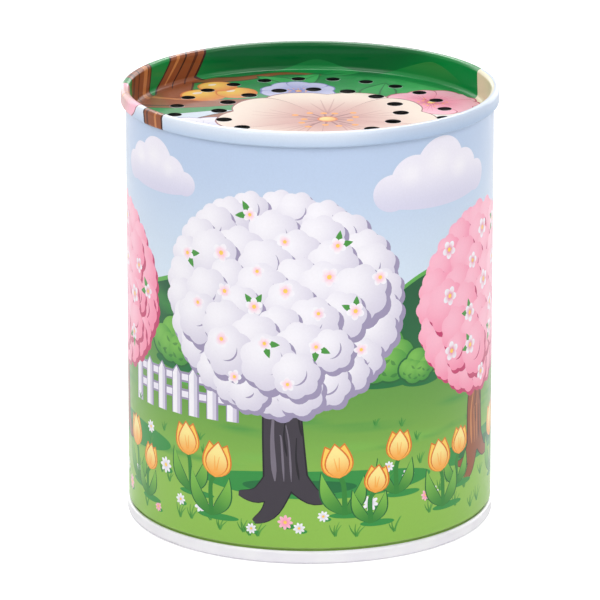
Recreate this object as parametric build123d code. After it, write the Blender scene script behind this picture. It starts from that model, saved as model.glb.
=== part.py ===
"""Animal sound toy: a seamed tin with a perforated top, holding a tilt-operated bellows voice.

Turned over, the weighted piston drops away from the base and draws air into the bellows through a
flap valve. Turned back, it sinks again and drives the air out past a reed, up to the holes in the top.
Millimetres, +Z up. The origin is the centre of the rim that the tin stands on, and -Y is the front.
"""

import math
import os

from build123d import *

# Tin
tin_height = 76.0
wall_radius = 31.65           # outside of the printed wall
sheet = 0.25                  # tinplate
seam_gap = 0.03               # between the layers of a double seam
bend_relief = 0.01            # flat left between a seam's two bends
top_seam_height = 2.6
base_seam_height = 2.3
base_overhang = 0.27          # the base seam stands this far out from the wall
hook_end_gap = 0.45           # from a hook's tip to the bend that it faces
neck_rise = 0.5               # height of the wall's step in to the base seam
neck_gap = 0.12               # from the base seam to the start of that step
fold_width = 4.5              # lock seam along the back of the wall
fold_depth = 0.5
fold_end_gap = 3.2            # from the fold's end to the panel beside it
seam_line = 0.14              # hairline that shows outside where the sheet's edges meet

# Ends of the tin
panel_depth = 4.77            # from the rim's crest down to the perforated panel
panel_step = 0.35             # the panel stands this much above its outer ring
step_inset = 2.45             # from the wall in to the end of that step
step_run = 0.4
wall_bend = 0.75              # bend from the recess's wall to its floor
base_depth = 3.3              # from the standing rim up to the bottom panel
base_step = 0.5
base_bend = 0.375

# Perforations
outer_hole_count = 24
outer_hole_inset = 5.9        # from the panel's step to the outer ring of holes
outer_hole_start = 5.0
inner_hole_count = 16
inner_hole_start = -2.4
hole_ring_spacing = 7.65
outer_hole_diameter = 2.5
inner_hole_diameter = 2.8

# Packing round the voice
packing_below = 2.0
packing_above = 6.8
pad_width = 8.0
pad_count = 4
pad_angle = 68.0
ring_inset = 0.6              # from the panel's step to the packing ring
ring_width = 2.9              # leaves the outer holes open
liner_thickness = 0.35
flute_thickness = 0.4
flute_height = 2.1
flute_count = 44
sleeve_clearance = 0.15       # from the case to the card
sleeve_gap = 0.3              # from the card to the lock seam's fold
sleeve_end_gap = 0.25         # from the card to the tin's floor

# Case of the voice
case_wall = 1.5
plate = 2.0                   # thickness of both end caps
spigot_wall = 1.05
spigot_length = 3.0
spigot_clearance = 0.05
snap_height = 0.8
snap_depth = 0.15
snap_clearance = 0.05
rib_count = 3
rib_width = 2.0
rib_depth = 1.2
rib_clearance = 0.3           # from a rib to the piston, and from a rib's end to a spigot
slot_count = 10
slot_width = 2.4
slot_length = 11.0
slot_margin = 7.0             # from the case's bore to the slots
slot_web = 4.5                # from the slots to the middle hole
felt = 1.5                    # felt stops at both ends of the travel
felt_width = 1.2
felt_margin = 0.1             # the felt reaches this far past the skirt

# Bellows
film = 0.2
collar_wall = 1.2             # collars that carry the bellows' cuffs
collar_height = 2.5
clamp_width = 1.2
clamp_height = 2.0
film_clearance = 0.03
pleat_count = 7
pleat_pitch = 1.2
pleat_clearance = 0.8         # from the pleats to the piston's skirt
pleat_depth = 5.8
pleat_bend = 0.12
cuff_inset = 3.0              # from the pleats' outer folds to the collars

# Piston
piston_wall = 1.2
piston_plate = 1.6
skirt_above = 11.0            # the guiding skirt above the piston's plate
boss_wall = 1.5
boss_below = 1.5
boss_stub = 0.9               # what stands above the clip
weight_thickness = 3.6
weight_chamfer = 0.4
weight_clearance = 0.25
clip_thickness = 0.6
clip_width = 2.6
clip_teeth = 6

# Reed
holder_wall = 2.0
holder_bore = 3.0
holder_flange = 1.3           # how far the flange reaches past the holder
holder_flange_height = 1.0
holder_below = 0.5            # what shows of the holder under the boss
reed_fit = 0.03
reed_recess = 0.1             # the reed's top lies this far below the flange
reed_above_stud = 1.0         # from the valve's stud up to the shallot
tongue_thickness = 0.2
tongue_width = 4.4
tongue_lift = 4.0             # degrees off the shallot's face at rest
flat_offset = 0.2             # the shallot's face stands this far off the axis
channel_width = 2.4
channel_depth = 1.7
shallot_tip = 1.0             # solid end below the channel
shallot_beyond = 0.4          # its tip reaches this far past the tongue's
wedge_relief = 0.1            # from the bend up to the wedge
bend_above_holder = 0.55      # the tongue bends this far inside the holder

# Valve
valve_film = 0.25
valve_lift = 1.2
valve_play = 0.35
valve_overlap = 1.7           # from the intakes to the flap's edge
lip_height = 0.4
lip_width = 0.6
stud_radius = 1.55
stud_fit = 0.05
stud_overhang = 1.85          # the stud's head past its stem
stud_head = 1.0
barb_overhang = 0.75
barb_length = 1.3
intake_count = 6
intake_diameter = 4.0
intake_land = 1.7             # from the inner lip to the intakes

# Tin, in levels and radii that follow from those sizes
layer = sheet + seam_gap
wall_line = wall_radius - sheet / 2
wall_inside = wall_radius - sheet
fold_inside = wall_inside - fold_depth
neck_line = wall_radius + base_overhang - sheet / 2 - 3 * layer
step_radius = wall_radius - step_inset
panel_top = tin_height - panel_depth
floor_top = base_depth + base_step + sheet
outer_hole_ring = step_radius - outer_hole_inset
inner_hole_ring = outer_hole_ring - hole_ring_spacing

# Case
sleeve_crest = fold_inside - sleeve_gap
sleeve_inside = sleeve_crest - flute_height - liner_thickness
case_radius = sleeve_inside - sleeve_clearance
case_bore = case_radius - case_wall
spigot_radius = case_bore - spigot_clearance
slot_centre = case_bore - slot_margin - slot_length / 2
base_bottom = floor_top + packing_below
base_top = base_bottom + plate
cover_top = panel_top - sheet - packing_above
tube_top = cover_top - plate

# Piston and bellows
piston_radius = case_bore - rib_depth - rib_clearance
felt_radius = piston_radius + felt_margin
pleat_outer = piston_radius - piston_wall - pleat_clearance
pleat_inner = pleat_outer - pleat_depth
cuff_radius = pleat_outer - cuff_inset
pleats_bottom = base_top + collar_height + film
pleats_top = pleats_bottom + pleat_count * pleat_pitch
piston_under = pleats_top + film + collar_height
piston_top = piston_under + piston_plate
skirt_bottom = base_top + felt
skirt_top = piston_top + skirt_above
travel = tube_top - felt - skirt_top
weight_outer = piston_radius - piston_wall - weight_clearance

# Valve
valve_seat = base_top + lip_height
hub_lip = stud_radius + stud_fit + 2 * lip_width
intake_ring = hub_lip + intake_land + intake_diameter / 2
valve_radius = intake_ring + intake_diameter / 2 + valve_overlap
stud_head_under = valve_seat + valve_film + valve_lift
stud_top = stud_head_under + stud_head

# Reed
holder_radius = holder_bore + holder_wall
boss_radius = holder_radius + reed_fit + boss_wall
boss_bottom = piston_under - boss_below
boss_top = piston_top + weight_thickness + clip_thickness + boss_stub
holder_bottom = boss_bottom - holder_below
tongue_bend = holder_bottom + bend_above_holder
tongue_line = flat_offset + reed_fit + tongue_thickness / 2
reed_top = boss_top - reed_recess
shallot_bottom = stud_top + reed_above_stud
tongue_length = tongue_bend - shallot_bottom - shallot_beyond


def revolved(outline):
    """Turns a closed outline, drawn as (radius, height), into a solid round +Z."""
    return revolve(Plane.XZ * outline, axis=Axis.Z)


def ring(inner, outer, low, high):
    """A plain ring between two radii and two heights."""
    tall = Pos(0, 0, (low + high) / 2)
    body = tall * Cylinder(outer, high - low)
    if inner > 0:
        body -= tall * Cylinder(inner, high - low)
    return body


def folded_strip(points, thickness, bends):
    """Outline of a folded sheet: its middle line as (radius, height) points, and a radius at each fold."""
    middle = [Vector(*point) for point in points]
    runs = [(b - a).normalized() for a, b in zip(middle, middle[1:])]
    normals = [Vector(-run.Y, run.X) for run in runs]
    sides = {}
    for side in (1, -1):
        corners = [(middle[0] + normals[0] * side * thickness / 2, 0)]
        for at, before, after, bend in zip(middle[1:-1], normals, normals[1:], bends):
            mitre = (before + after) / (1 + before.dot(after))
            turn = before.cross(after).Z * side
            radius = max(0.0, bend - thickness / 2) if turn > 0 else bend + thickness / 2
            corners.append((at + mitre * side * thickness / 2, radius))
        corners.append((middle[-1] + normals[-1] * side * thickness / 2, 0))
        sides[side] = corners
    outline = sides[1] + sides[-1][::-1]
    places = [(corner.X, corner.Y) for corner, _ in outline]
    return make_face(FilletPolyline(*places, radius=[radius for _, radius in outline], close=True))


def seam_end(line, height):
    """Middle line of an end's double seam over a wall at radius line, from its hook's tip to its chuck wall.

    Heights are counted from the seam's closed end, which the caller places.
    """
    closed, open_end = sheet / 2, height - sheet / 2
    return [
        (line + layer, closed + layer + hook_end_gap),
        (line + layer, open_end),
        (line + 3 * layer, open_end),
        (line + 3 * layer, closed),
        (line - layer, closed),
    ]


def seam_hook(line, height):
    """Middle line of the wall's own hook inside that seam, from its tip to the wall."""
    closed, open_end = sheet / 2 + layer, height - sheet / 2
    return [(line + 2 * layer, open_end - hook_end_gap), (line + 2 * layer, closed), (line, closed)]


tight_bend = layer - bend_relief
crest_bend = tight_bend + layer
seam_bends = [tight_bend, tight_bend, crest_bend, crest_bend]


def tin_body():
    """The printed wall: hooks at both ends, a neck above the base, and a lock seam down the back."""
    base = seam_hook(neck_line, base_seam_height)
    neck_low = base_seam_height + neck_gap
    neck = [(neck_line, neck_low), (wall_line, neck_low + neck_rise)]
    top = [(r, tin_height - z) for r, z in reversed(seam_hook(wall_line, top_seam_height))]
    bends = [tight_bend, tight_bend, neck_rise / 2, neck_rise / 2, tight_bend, tight_bend]
    wall = revolved(folded_strip(base + neck + top, sheet, bends))
    fold_low, fold_high = floor_top + fold_end_gap, panel_top - fold_end_gap
    fold_angle = math.degrees(fold_width / wall_inside)
    fold_outline = Pos((fold_inside + wall_line) / 2, (fold_low + fold_high) / 2) * Rectangle(
        wall_line - fold_inside, fold_high - fold_low
    )
    fold = revolve(Plane.XZ * fold_outline, axis=Axis.Z, revolution_arc=fold_angle)
    fold = Rot(0, 0, 90 - fold_angle / 2) * fold
    line_low, line_high = neck_low + neck_rise, tin_height - top_seam_height
    line = Pos(0, wall_radius, (line_low + line_high) / 2) * Box(seam_line, seam_line, line_high - line_low)
    return wall + fold - line


def perforations():
    """Both rings of round holes in the top."""
    rings = [
        (outer_hole_ring, outer_hole_count, outer_hole_start, outer_hole_diameter),
        (inner_hole_ring, inner_hole_count, inner_hole_start, inner_hole_diameter),
    ]
    drills = []
    for radius, count, start, diameter in rings:
        drill = Pos(0, 0, panel_top) * Cylinder(diameter / 2, 4 * sheet)
        drills += [place * drill for place in PolarLocations(radius, count, start)]
    return drills


def top_end():
    """The recessed, perforated top, seamed to the wall."""
    seam = [(r, tin_height - z) for r, z in seam_end(wall_line, top_seam_height)]
    panel = panel_top - sheet / 2
    floor = [
        (wall_line - layer, panel - panel_step),
        (step_radius + step_run, panel - panel_step),
        (step_radius, panel),
        (0, panel),
    ]
    bends = seam_bends + [wall_bend, step_run / 2, step_run / 2]
    return revolved(folded_strip(seam + floor, sheet, bends)) - perforations()


def bottom_end():
    """The plain bottom, seamed to the necked wall and recessed off the table."""
    seam = seam_end(neck_line, base_seam_height)
    ring_line = base_depth + sheet / 2
    floor = [
        (neck_line - layer, ring_line),
        (step_radius + step_run, ring_line),
        (step_radius, ring_line + base_step),
        (0, ring_line + base_step),
    ]
    bends = seam_bends + [base_bend, step_run / 2, step_run / 2]
    return revolved(folded_strip(seam + floor, sheet, bends))


def lower_packing():
    """Felt pads under the voice, with gaps that let air reach its valve."""
    outline = Pos(case_radius - pad_width / 2, (floor_top + base_bottom) / 2) * Rectangle(
        pad_width, packing_below
    )
    pad = revolve(Plane.XZ * outline, axis=Axis.Z, revolution_arc=pad_angle)
    return Compound([place * pad for place in PolarLocations(0, pad_count)])


def upper_packing():
    """Felt ring that holds the voice down under the perforated top."""
    outside = step_radius - ring_inset
    return ring(outside - ring_width, outside, cover_top, panel_top - sheet)


def card_sleeve():
    """Single-faced corrugated card rolled round the voice, whose flutes carry air down to its base."""
    low, high = floor_top + sleeve_end_gap, cover_top
    liner_outer = sleeve_inside + liner_thickness
    trough = liner_outer + flute_thickness / 2
    step = 2 * math.pi / flute_count / 4
    outer, inner = [], []
    for i in range(4 * flute_count):
        radius = sleeve_crest if i % 4 < 2 else trough
        angle = i * step
        outer.append((radius * math.cos(angle), radius * math.sin(angle)))
        bottom = radius - flute_thickness
        inner.append((bottom * math.cos(angle), bottom * math.sin(angle)))
    flutes = make_face(Polyline(*outer, close=True)) - make_face(Polyline(*inner, close=True))
    flutes += Circle(liner_outer)
    return Pos(0, 0, low) * extrude(flutes - Circle(sleeve_inside), high - low)


def spigot(low, high, snap_middle):
    """The short tube on an end cap that plugs into the case, with its snap bead."""
    plug = ring(spigot_radius - spigot_wall, spigot_radius, low, high)
    half = snap_height / 2 - snap_clearance
    bead_radius = case_bore + snap_depth - snap_clearance
    return plug + ring(spigot_radius - spigot_wall, bead_radius, snap_middle - half, snap_middle + half)


base_snap = base_top + spigot_length / 2
cover_snap = tube_top - spigot_length / 2


def case_tube():
    """The voice's tube, with snap grooves at both ends and ribs that guide the piston."""
    tube = ring(case_bore, case_radius, base_top, tube_top)
    for middle in (base_snap, cover_snap):
        low, high = middle - snap_height / 2, middle + snap_height / 2
        tube -= ring(case_bore - case_wall, case_bore + snap_depth, low, high)
    rib_low = base_top + spigot_length + rib_clearance
    rib_high = tube_top - spigot_length - rib_clearance
    rib_inside = piston_radius + rib_clearance
    blank = Pos((rib_inside + case_bore) / 2, 0, (rib_low + rib_high) / 2) * Box(
        case_bore - rib_inside + case_wall / 2, rib_width, rib_high - rib_low
    )
    for place in PolarLocations(case_wall / 4, rib_count, 90):
        tube += place * blank
    return tube


def case_base():
    """Lower end cap: air intakes, the valve's two seating lips, and the collar for the bellows."""
    cap = ring(0, case_radius, base_bottom, base_top)
    cap += spigot(base_top, base_top + spigot_length, base_snap)
    cap += ring(cuff_radius - collar_wall, cuff_radius, base_top, base_top + collar_height)
    lip_outer = valve_radius - valve_play
    cap += ring(lip_outer - lip_width, lip_outer, base_top, valve_seat)
    cap += ring(hub_lip - lip_width, hub_lip, base_top, valve_seat)
    middle = Pos(0, 0, (base_bottom + base_top) / 2)
    for place in PolarLocations(intake_ring, intake_count):
        cap -= place * middle * Cylinder(intake_diameter / 2, 2 * plate)
    return cap - middle * Cylinder(stud_radius + stud_fit, 2 * plate)


def case_cover():
    """Upper end cap, slotted to let the sound out."""
    middle_hole = slot_centre - slot_length / 2 - slot_web
    cap = ring(middle_hole, case_radius, tube_top, cover_top)
    cap += spigot(tube_top - spigot_length, tube_top, cover_snap)
    slot = extrude(SlotOverall(slot_length, slot_width), plate, both=True)
    for place in PolarLocations(slot_centre, slot_count):
        cap -= Pos(0, 0, tube_top + plate / 2) * place * slot
    return cap


def base_bumper():
    """Felt ring on the base that the piston rests on."""
    return ring(felt_radius - felt_width, felt_radius, base_top, base_top + felt)


def cover_bumper():
    """Felt ring under the cover that stops the piston when the toy is turned over."""
    return ring(felt_radius - felt_width, felt_radius, tube_top - felt, tube_top)


def bellows():
    """Pleated film tube, folded together as it lies with the toy upright."""
    cuff = cuff_radius + film_clearance + film / 2
    low_cuff = base_top + film
    high_cuff = piston_under - film
    points = [(cuff, low_cuff), (cuff, pleats_bottom)]
    for i in range(pleat_count):
        low = pleats_bottom + i * pleat_pitch
        points += [(pleat_outer, low + pleat_pitch / 4), (pleat_inner, low + pleat_pitch * 3 / 4)]
    points += [(cuff, pleats_top), (cuff, high_cuff)]
    return revolved(folded_strip(points, film, [pleat_bend] * (len(points) - 2)))


def clamp_ring(collar_end):
    """Band that grips a cuff of the bellows on its collar, centred on the collar's height."""
    inside = cuff_radius + 2 * film_clearance + film
    return ring(inside, inside + clamp_width, collar_end - clamp_height / 2, collar_end + clamp_height / 2)


def bellows_base_ring():
    """Clamp on the base's collar."""
    return clamp_ring(base_top + collar_height / 2)


def bellows_piston_ring():
    """Clamp on the piston's collar."""
    return clamp_ring(piston_under - collar_height / 2)


def piston():
    """Moulded piston: plate, guiding skirt, collar for the bellows, and a boss that takes the reed."""
    body = ring(0, piston_radius, piston_under, piston_top)
    body += ring(piston_radius - piston_wall, piston_radius, skirt_bottom, skirt_top)
    body += ring(cuff_radius - collar_wall, cuff_radius, piston_under - collar_height, piston_under)
    body += ring(0, boss_radius, boss_bottom, boss_top)
    return body - ring(0, holder_radius + reed_fit, boss_bottom, boss_top)


def weight_ring():
    """Steel ring that drives the bellows."""
    blank = ring(boss_radius + weight_clearance, weight_outer, piston_top, piston_top + weight_thickness)
    rims = blank.edges().filter_by(GeomType.CIRCLE)
    return chamfer(rims.filter_by(lambda edge: edge.radius > boss_radius + clip_width), weight_chamfer)


def weight_clip():
    """Toothed push-on washer that keeps the weight on the piston's boss."""
    low = piston_top + weight_thickness
    inside = boss_radius + reed_fit
    blank = ring(inside, inside + clip_width, low, low + clip_thickness)
    notch = Pos(0, 0, low + clip_thickness / 2) * Box(clip_width, clip_thickness, 2 * clip_thickness)
    for place in PolarLocations(inside, clip_teeth):
        blank -= place * notch
    return blank


def reed_holder():
    """Flanged bush, pressed into the boss, that grips the reed."""
    bush = ring(holder_bore, holder_radius, holder_bottom, boss_top)
    flange = ring(holder_bore, holder_radius + holder_flange, boss_top, boss_top + holder_flange_height)
    return bush + flange


def half_round(low, high, face, towards):
    """Part of the holder's bore beyond a flat at y = face, on the side that towards gives."""
    rod = ring(0, holder_bore - reed_fit, low, high)
    wide = 2 * holder_bore
    return rod & Pos(0, face + towards * wide / 2, (low + high) / 2) * Box(2 * wide, wide, high - low)


def reed_shallot():
    """Half-round rod with the sound channel that the tongue beats on."""
    rod = half_round(shallot_bottom, reed_top, -flat_offset, 1)
    channel_low = shallot_bottom + shallot_tip
    channel = Pos(0, channel_depth / 2 - flat_offset, (channel_low + reed_top) / 2) * Box(
        channel_width, channel_depth, reed_top - channel_low
    )
    return rod - channel


def reed_tongue():
    """The tongue's free blade, hanging from its rounded bend and standing off the shallot's face."""
    blade = Pos(0, 0, -tongue_length / 2) * Box(tongue_width, tongue_thickness, tongue_length)
    blade = fillet(blade.edges().filter_by(Axis.Y).group_by(Axis.Z)[0], tongue_width / 4)
    blade += Rot(0, 90, 0) * Cylinder(tongue_thickness / 2, tongue_width)
    return Pos(0, -tongue_line, tongue_bend) * Rot(-tongue_lift, 0, 0) * blade


def reed_tongue_root():
    """The tongue's clamped end, above the bend."""
    low = tongue_bend + tongue_thickness / 2 + reed_fit
    return Pos(0, -tongue_line, (low + reed_top) / 2) * Box(tongue_width, tongue_thickness, reed_top - low)


def reed_wedge():
    """Half-round wedge that clamps the tongue in the holder."""
    face = tongue_line + tongue_thickness / 2 + reed_fit
    return half_round(tongue_bend + wedge_relief, reed_top, -face, -1)


def valve_flap():
    """Film disc that covers the air intakes."""
    return ring(stud_radius + stud_fit + valve_play, valve_radius, valve_seat, valve_seat + valve_film)


def valve_stud():
    """Snap-in stud that keeps the flap in place and limits its lift."""
    stem = ring(0, stud_radius, base_bottom - barb_length, stud_head_under)
    head = ring(0, stud_radius + stud_overhang, stud_head_under, stud_top)
    barb = Cone(stud_radius + barb_overhang, stud_radius, barb_length)
    barb = Pos(0, 0, base_bottom - barb_length / 2) * Rot(180, 0, 0) * barb
    return stem + head + barb


nodes = [
    tin_body, top_end, bottom_end, lower_packing, upper_packing, card_sleeve,
    case_tube, case_base, case_cover, base_bumper, cover_bumper,
    bellows, bellows_base_ring, bellows_piston_ring, piston, weight_ring, weight_clip,
    reed_holder, reed_shallot, reed_wedge, reed_tongue, reed_tongue_root, valve_flap, valve_stud,
]

os.makedirs("parts", exist_ok=True)
for make in nodes:
    export_step(make(), f"parts/{make.__name__}.step")
print("travel", round(travel, 3), "tongue bend at", round(-tongue_line, 3), round(tongue_bend, 3))
print("bellows fixed at", round(base_top + film, 3), "valve lift", valve_lift)
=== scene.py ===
"""Animal sound toy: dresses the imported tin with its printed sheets, finishes, bellows, light and camera.

Sizes are in millimetres until a mesh is made, and MM turns them into Blender's metres. The tin's axis
is Z and its front is -Y. Both printed sheets are drawn flat, as blanks, before they are formed.
"""

import logging
import math
from dataclasses import dataclass, field
from enum import Enum
from random import Random
from typing import Callable

import bmesh
import bpy
import numpy as np
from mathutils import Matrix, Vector
from mathutils.geometry import delaunay_2d_cdt


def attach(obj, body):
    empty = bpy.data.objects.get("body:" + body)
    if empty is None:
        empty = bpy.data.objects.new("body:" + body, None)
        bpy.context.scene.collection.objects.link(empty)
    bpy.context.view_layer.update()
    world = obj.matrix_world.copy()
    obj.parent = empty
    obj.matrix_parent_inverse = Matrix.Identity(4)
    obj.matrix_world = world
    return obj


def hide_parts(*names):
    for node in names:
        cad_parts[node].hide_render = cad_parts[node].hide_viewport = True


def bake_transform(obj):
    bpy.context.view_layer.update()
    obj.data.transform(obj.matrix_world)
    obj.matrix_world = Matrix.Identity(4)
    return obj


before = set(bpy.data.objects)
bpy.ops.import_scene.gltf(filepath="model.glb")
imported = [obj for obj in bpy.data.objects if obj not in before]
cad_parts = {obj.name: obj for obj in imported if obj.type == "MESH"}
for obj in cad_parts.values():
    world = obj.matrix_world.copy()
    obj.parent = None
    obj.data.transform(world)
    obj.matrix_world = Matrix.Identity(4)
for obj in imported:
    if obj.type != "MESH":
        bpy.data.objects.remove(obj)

MM = 0.001
PHOTO_WIDTH = 600
LOG = logging.getLogger("sound_toy")

Point = tuple[float, float]
Outline = list[Point]
Colour = tuple[int, int, int]


class Ink(Enum):
    """The inks of both prints, as 8-bit sRGB."""

    # pale print on the rim with a painted highlight near its crest; also the painted highlight on the sound
    # holes' near edges
    RIM_HIGH = (241, 246, 253)
    RIM_LOW = (190, 208, 232)
    # painted shade for the outer face of the rim on the right
    RIM_SHADE = (122, 155, 197)
    SKY_HIGH = (188, 206, 233)
    SKY_LOW = (214, 228, 242)
    CLOUD = (240, 236, 247)
    CLOUD_SHADE = (216, 214, 235)
    COAT = (246, 243, 249)
    RIDGE = (92, 172, 76)
    HILL_DEEP = (16, 82, 50)
    HILL_DARK = (34, 106, 60)
    HILL_MID = (58, 138, 66)
    MEADOW_FAR = (98, 154, 66)
    MEADOW_NEAR = (144, 192, 80)
    SHADOW = (50, 146, 66)
    SHADOW_DEEP = (26, 112, 58)
    BUSH = (72, 150, 62)
    BUSH_LIGHT = (124, 190, 82)
    BUSH_EDGE = (32, 102, 52)
    STEM = (50, 134, 52)
    STEM_LIGHT = (130, 192, 76)
    BLOSSOM = (247, 244, 250)
    BLOSSOM_SHADE = (214, 208, 226)
    BLOSSOM_LINE = (158, 148, 180)
    PETAL_LIGHT = (255, 188, 208)
    PETAL = (248, 142, 174)
    PETAL_DEEP = (232, 98, 142)
    PETAL_LINE = (198, 56, 106)
    BARK = (62, 56, 66)
    BARK_DARK = (32, 28, 36)
    BARK_LIGHT = (120, 112, 126)
    WOOD = (146, 78, 40)
    WOOD_DARK = (90, 42, 22)
    WOOD_LINE = (60, 26, 16)
    WOOD_LIGHT = (198, 126, 72)
    YOLK_LIGHT = (255, 234, 150)
    YOLK = (255, 210, 94)
    AMBER = (250, 166, 66)
    AMBER_LINE = (224, 116, 42)
    CREAM = (250, 232, 216)
    CREAM_SHADE = (238, 210, 192)
    BLUSH = (214, 162, 154)
    BLUSH_DEEP = (184, 124, 120)
    BLUSH_LINE = (150, 88, 92)
    LILAC_LIGHT = (206, 206, 240)
    LILAC = (168, 170, 222)
    LILAC_DEEP = (124, 126, 194)
    LEAF_DARK = (0, 100, 46)
    LEAF = (0, 138, 62)
    LEAF_LIGHT = (50, 172, 84)
    FIELD = (232, 226, 190)


def linear_colour(colour: Colour) -> np.ndarray:
    """Turns an 8-bit sRGB colour into linear light.

    Args:
        colour: red, green and blue from 0 to 255.

    Returns:
        Three linear values from 0 to 1.
    """
    encoded = np.array(colour, float) / 255
    return np.where(encoded <= 0.04045, encoded / 12.92, ((encoded + 0.055) / 1.055) ** 2.4)


def rgba(colour: Colour) -> tuple[float, float, float, float]:
    """Returns an 8-bit sRGB colour as a shader socket takes it."""
    red, green, blue = linear_colour(colour)
    return (float(red), float(green), float(blue), 1.0)


@dataclass(frozen=True)
class Wash:
    """A fill that runs from one ink and strength to another.

    With squash at 0 it runs straight from start to end. Otherwise it spreads out round start, as far as
    end, and squash times as far across that line. The first ink holds for the share of the way in core.
    """

    first: Ink
    last: Ink
    start: Point = (0.0, 0.0)
    end: Point = (0.0, 1.0)
    squash: float = 0.0
    cover: tuple[float, float] = (1.0, 1.0)
    core: float = 0.0

    def over(self, points: np.ndarray, under: np.ndarray) -> np.ndarray:
        """Lays the fill over what is already there.

        Args:
            points: places on the blank, in the last axis.
            under: the linear colours there now.

        Returns:
            The linear colours with the fill on them.
        """
        run = np.array(self.end) - np.array(self.start)
        reach = max(float(np.hypot(*run)), 1e-6)
        offset = points - np.array(self.start)
        along = offset @ run / reach**2
        if self.squash:
            along = np.hypot(along, offset @ np.array([-run[1], run[0]]) / (reach**2 * self.squash))
        share = np.clip((along - self.core) / (1 - self.core), 0, 1)[..., None]
        share = share * share * (3 - 2 * share)
        ink = linear_colour(self.first.value) * (1 - share) + linear_colour(self.last.value) * share
        strength = self.cover[0] * (1 - share) + self.cover[1] * share
        return under * (1 - strength) + ink * strength


def flat(ink: Ink, strength: float = 1.0) -> Wash:
    """Returns a fill of one ink all over."""
    return Wash(ink, ink, cover=(strength, strength))


def upright(low_ink: Ink, high_ink: Ink, low: float, high: float) -> Wash:
    """Returns a fill that runs from one ink at a low level to another at a high one."""
    return Wash(low_ink, high_ink, (0.0, low), (0.0, high))


def ball(light: Ink, shade: Ink, centre: Point, radius: float, reach: float = 1.75) -> Wash:
    """Returns a fill that shades a round form, lit from the upper left."""
    start = (centre[0] - 0.38 * radius, centre[1] + 0.42 * radius)
    return Wash(light, shade, start, (start[0] + reach * radius, start[1]), 1.0)


ARC_STEP = 0.7
LEAST_ARC_POINTS = 10
MOST_ARC_POINTS = 48
LEAST_LEAF_STEPS = 6
MOST_LEAF_STEPS = 18
SCALLOP_STEPS = 6
SCALLOP_DEPTH = 0.12
CURL_TURN = 12
LEAST_CURL_STEPS = 6
BAND_TURN = 3


def ellipse(centre: Point, across: float, up: float, turn: float = 0.0) -> Outline:
    """Draws an ellipse.

    Args:
        centre: its middle.
        across: its radius along its own first axis.
        up: its radius along its own second axis.
        turn: degrees that the first axis is turned from level.

    Returns:
        Points round the ellipse.
    """
    count = int(2 * math.pi * max(across, up) / ARC_STEP)
    count = min(max(count, LEAST_ARC_POINTS), MOST_ARC_POINTS)
    local = [
        (across * math.cos(2 * math.pi * i / count), up * math.sin(2 * math.pi * i / count))
        for i in range(count)
    ]
    return placed(local, centre, turn)


def placed(local: Outline, spot: Point, turn: float) -> Outline:
    """Turns an outline about its own origin and moves that origin to a spot.

    Args:
        local: the outline round its own origin.
        spot: where the origin goes.
        turn: degrees anticlockwise.

    Returns:
        The outline in its place.
    """
    cos, sin = math.cos(math.radians(turn)), math.sin(math.radians(turn))
    return [(spot[0] + x * cos - y * sin, spot[1] + x * sin + y * cos) for x, y in local]


def away(spot: Point, reach: float, turn: float) -> Point:
    """Returns the point at a distance from a spot, in a direction in degrees."""
    return (spot[0] + reach * math.cos(math.radians(turn)), spot[1] + reach * math.sin(math.radians(turn)))


def circle(centre: Point, radius: float, count: int, start: float = 0.0) -> Outline:
    """Returns a number of points evenly round a circle, from a direction in degrees."""
    return [away(centre, radius, start + 360 * i / count) for i in range(count)]


def leaf(root: Point, length: float, width: float, turn: float, belly: float, bow: float = 0.0) -> Outline:
    """Draws a leaf or a petal, pointed at both ends.

    Args:
        root: the end that it grows from.
        length: from root to tip.
        width: at its widest.
        turn: degrees from level to the leaf's length.
        belly: where it is widest, as a share of its length.
        bow: how far its midline bends aside, as a share of its length.

    Returns:
        Points round the leaf.
    """
    count = max(LEAST_LEAF_STEPS, min(MOST_LEAF_STEPS, int(length / ARC_STEP)))
    power = math.log(0.5) / math.log(belly)
    sides: dict[int, Outline] = {1: [], -1: []}
    for i in range(count + 1):
        share = i / count
        half = width / 2 * math.sin(math.pi * share**power)
        aside = bow * length * math.sin(math.pi * share)
        for side in (1, -1):
            sides[side].append((share * length, aside + side * half))
    return placed(sides[1] + sides[-1][-2:0:-1], root, turn)


def puff(centre: Point, radius: float, lobes: int, turn: float) -> Outline:
    """Draws a round tuft with a scalloped edge.

    Args:
        centre: its middle.
        radius: to the top of its scallops.
        lobes: how many scallops it has.
        turn: degrees that it is turned.

    Returns:
        Points round the tuft.
    """
    steps = SCALLOP_STEPS * lobes
    outline = []
    for i in range(steps):
        rise = SCALLOP_DEPTH * abs(math.sin(math.pi * i / SCALLOP_STEPS))
        outline.append(away(centre, radius * (1 - SCALLOP_DEPTH + rise), turn + 360 * i / steps))
    return outline


def petal(root: Point, length: float, width: float, turn: float) -> Outline:
    """Draws a heart-shaped petal with a shallow notch in its tip.

    Args:
        root: the end that it grows from.
        length: from root to tip.
        width: at its widest.
        turn: degrees from level to the petal's length.

    Returns:
        Points round the petal.
    """
    half = [(0.0, 0.05), (0.25, 0.2), (0.55, 0.42), (0.8, 0.5), (0.97, 0.36), (1.0, 0.15), (0.94, 0.0)]
    edge = smooth_path([(x * length, y * width) for x, y in half], 5)
    return placed(edge + [(x, -y) for x, y in edge[-2::-1]], root, turn)


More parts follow.
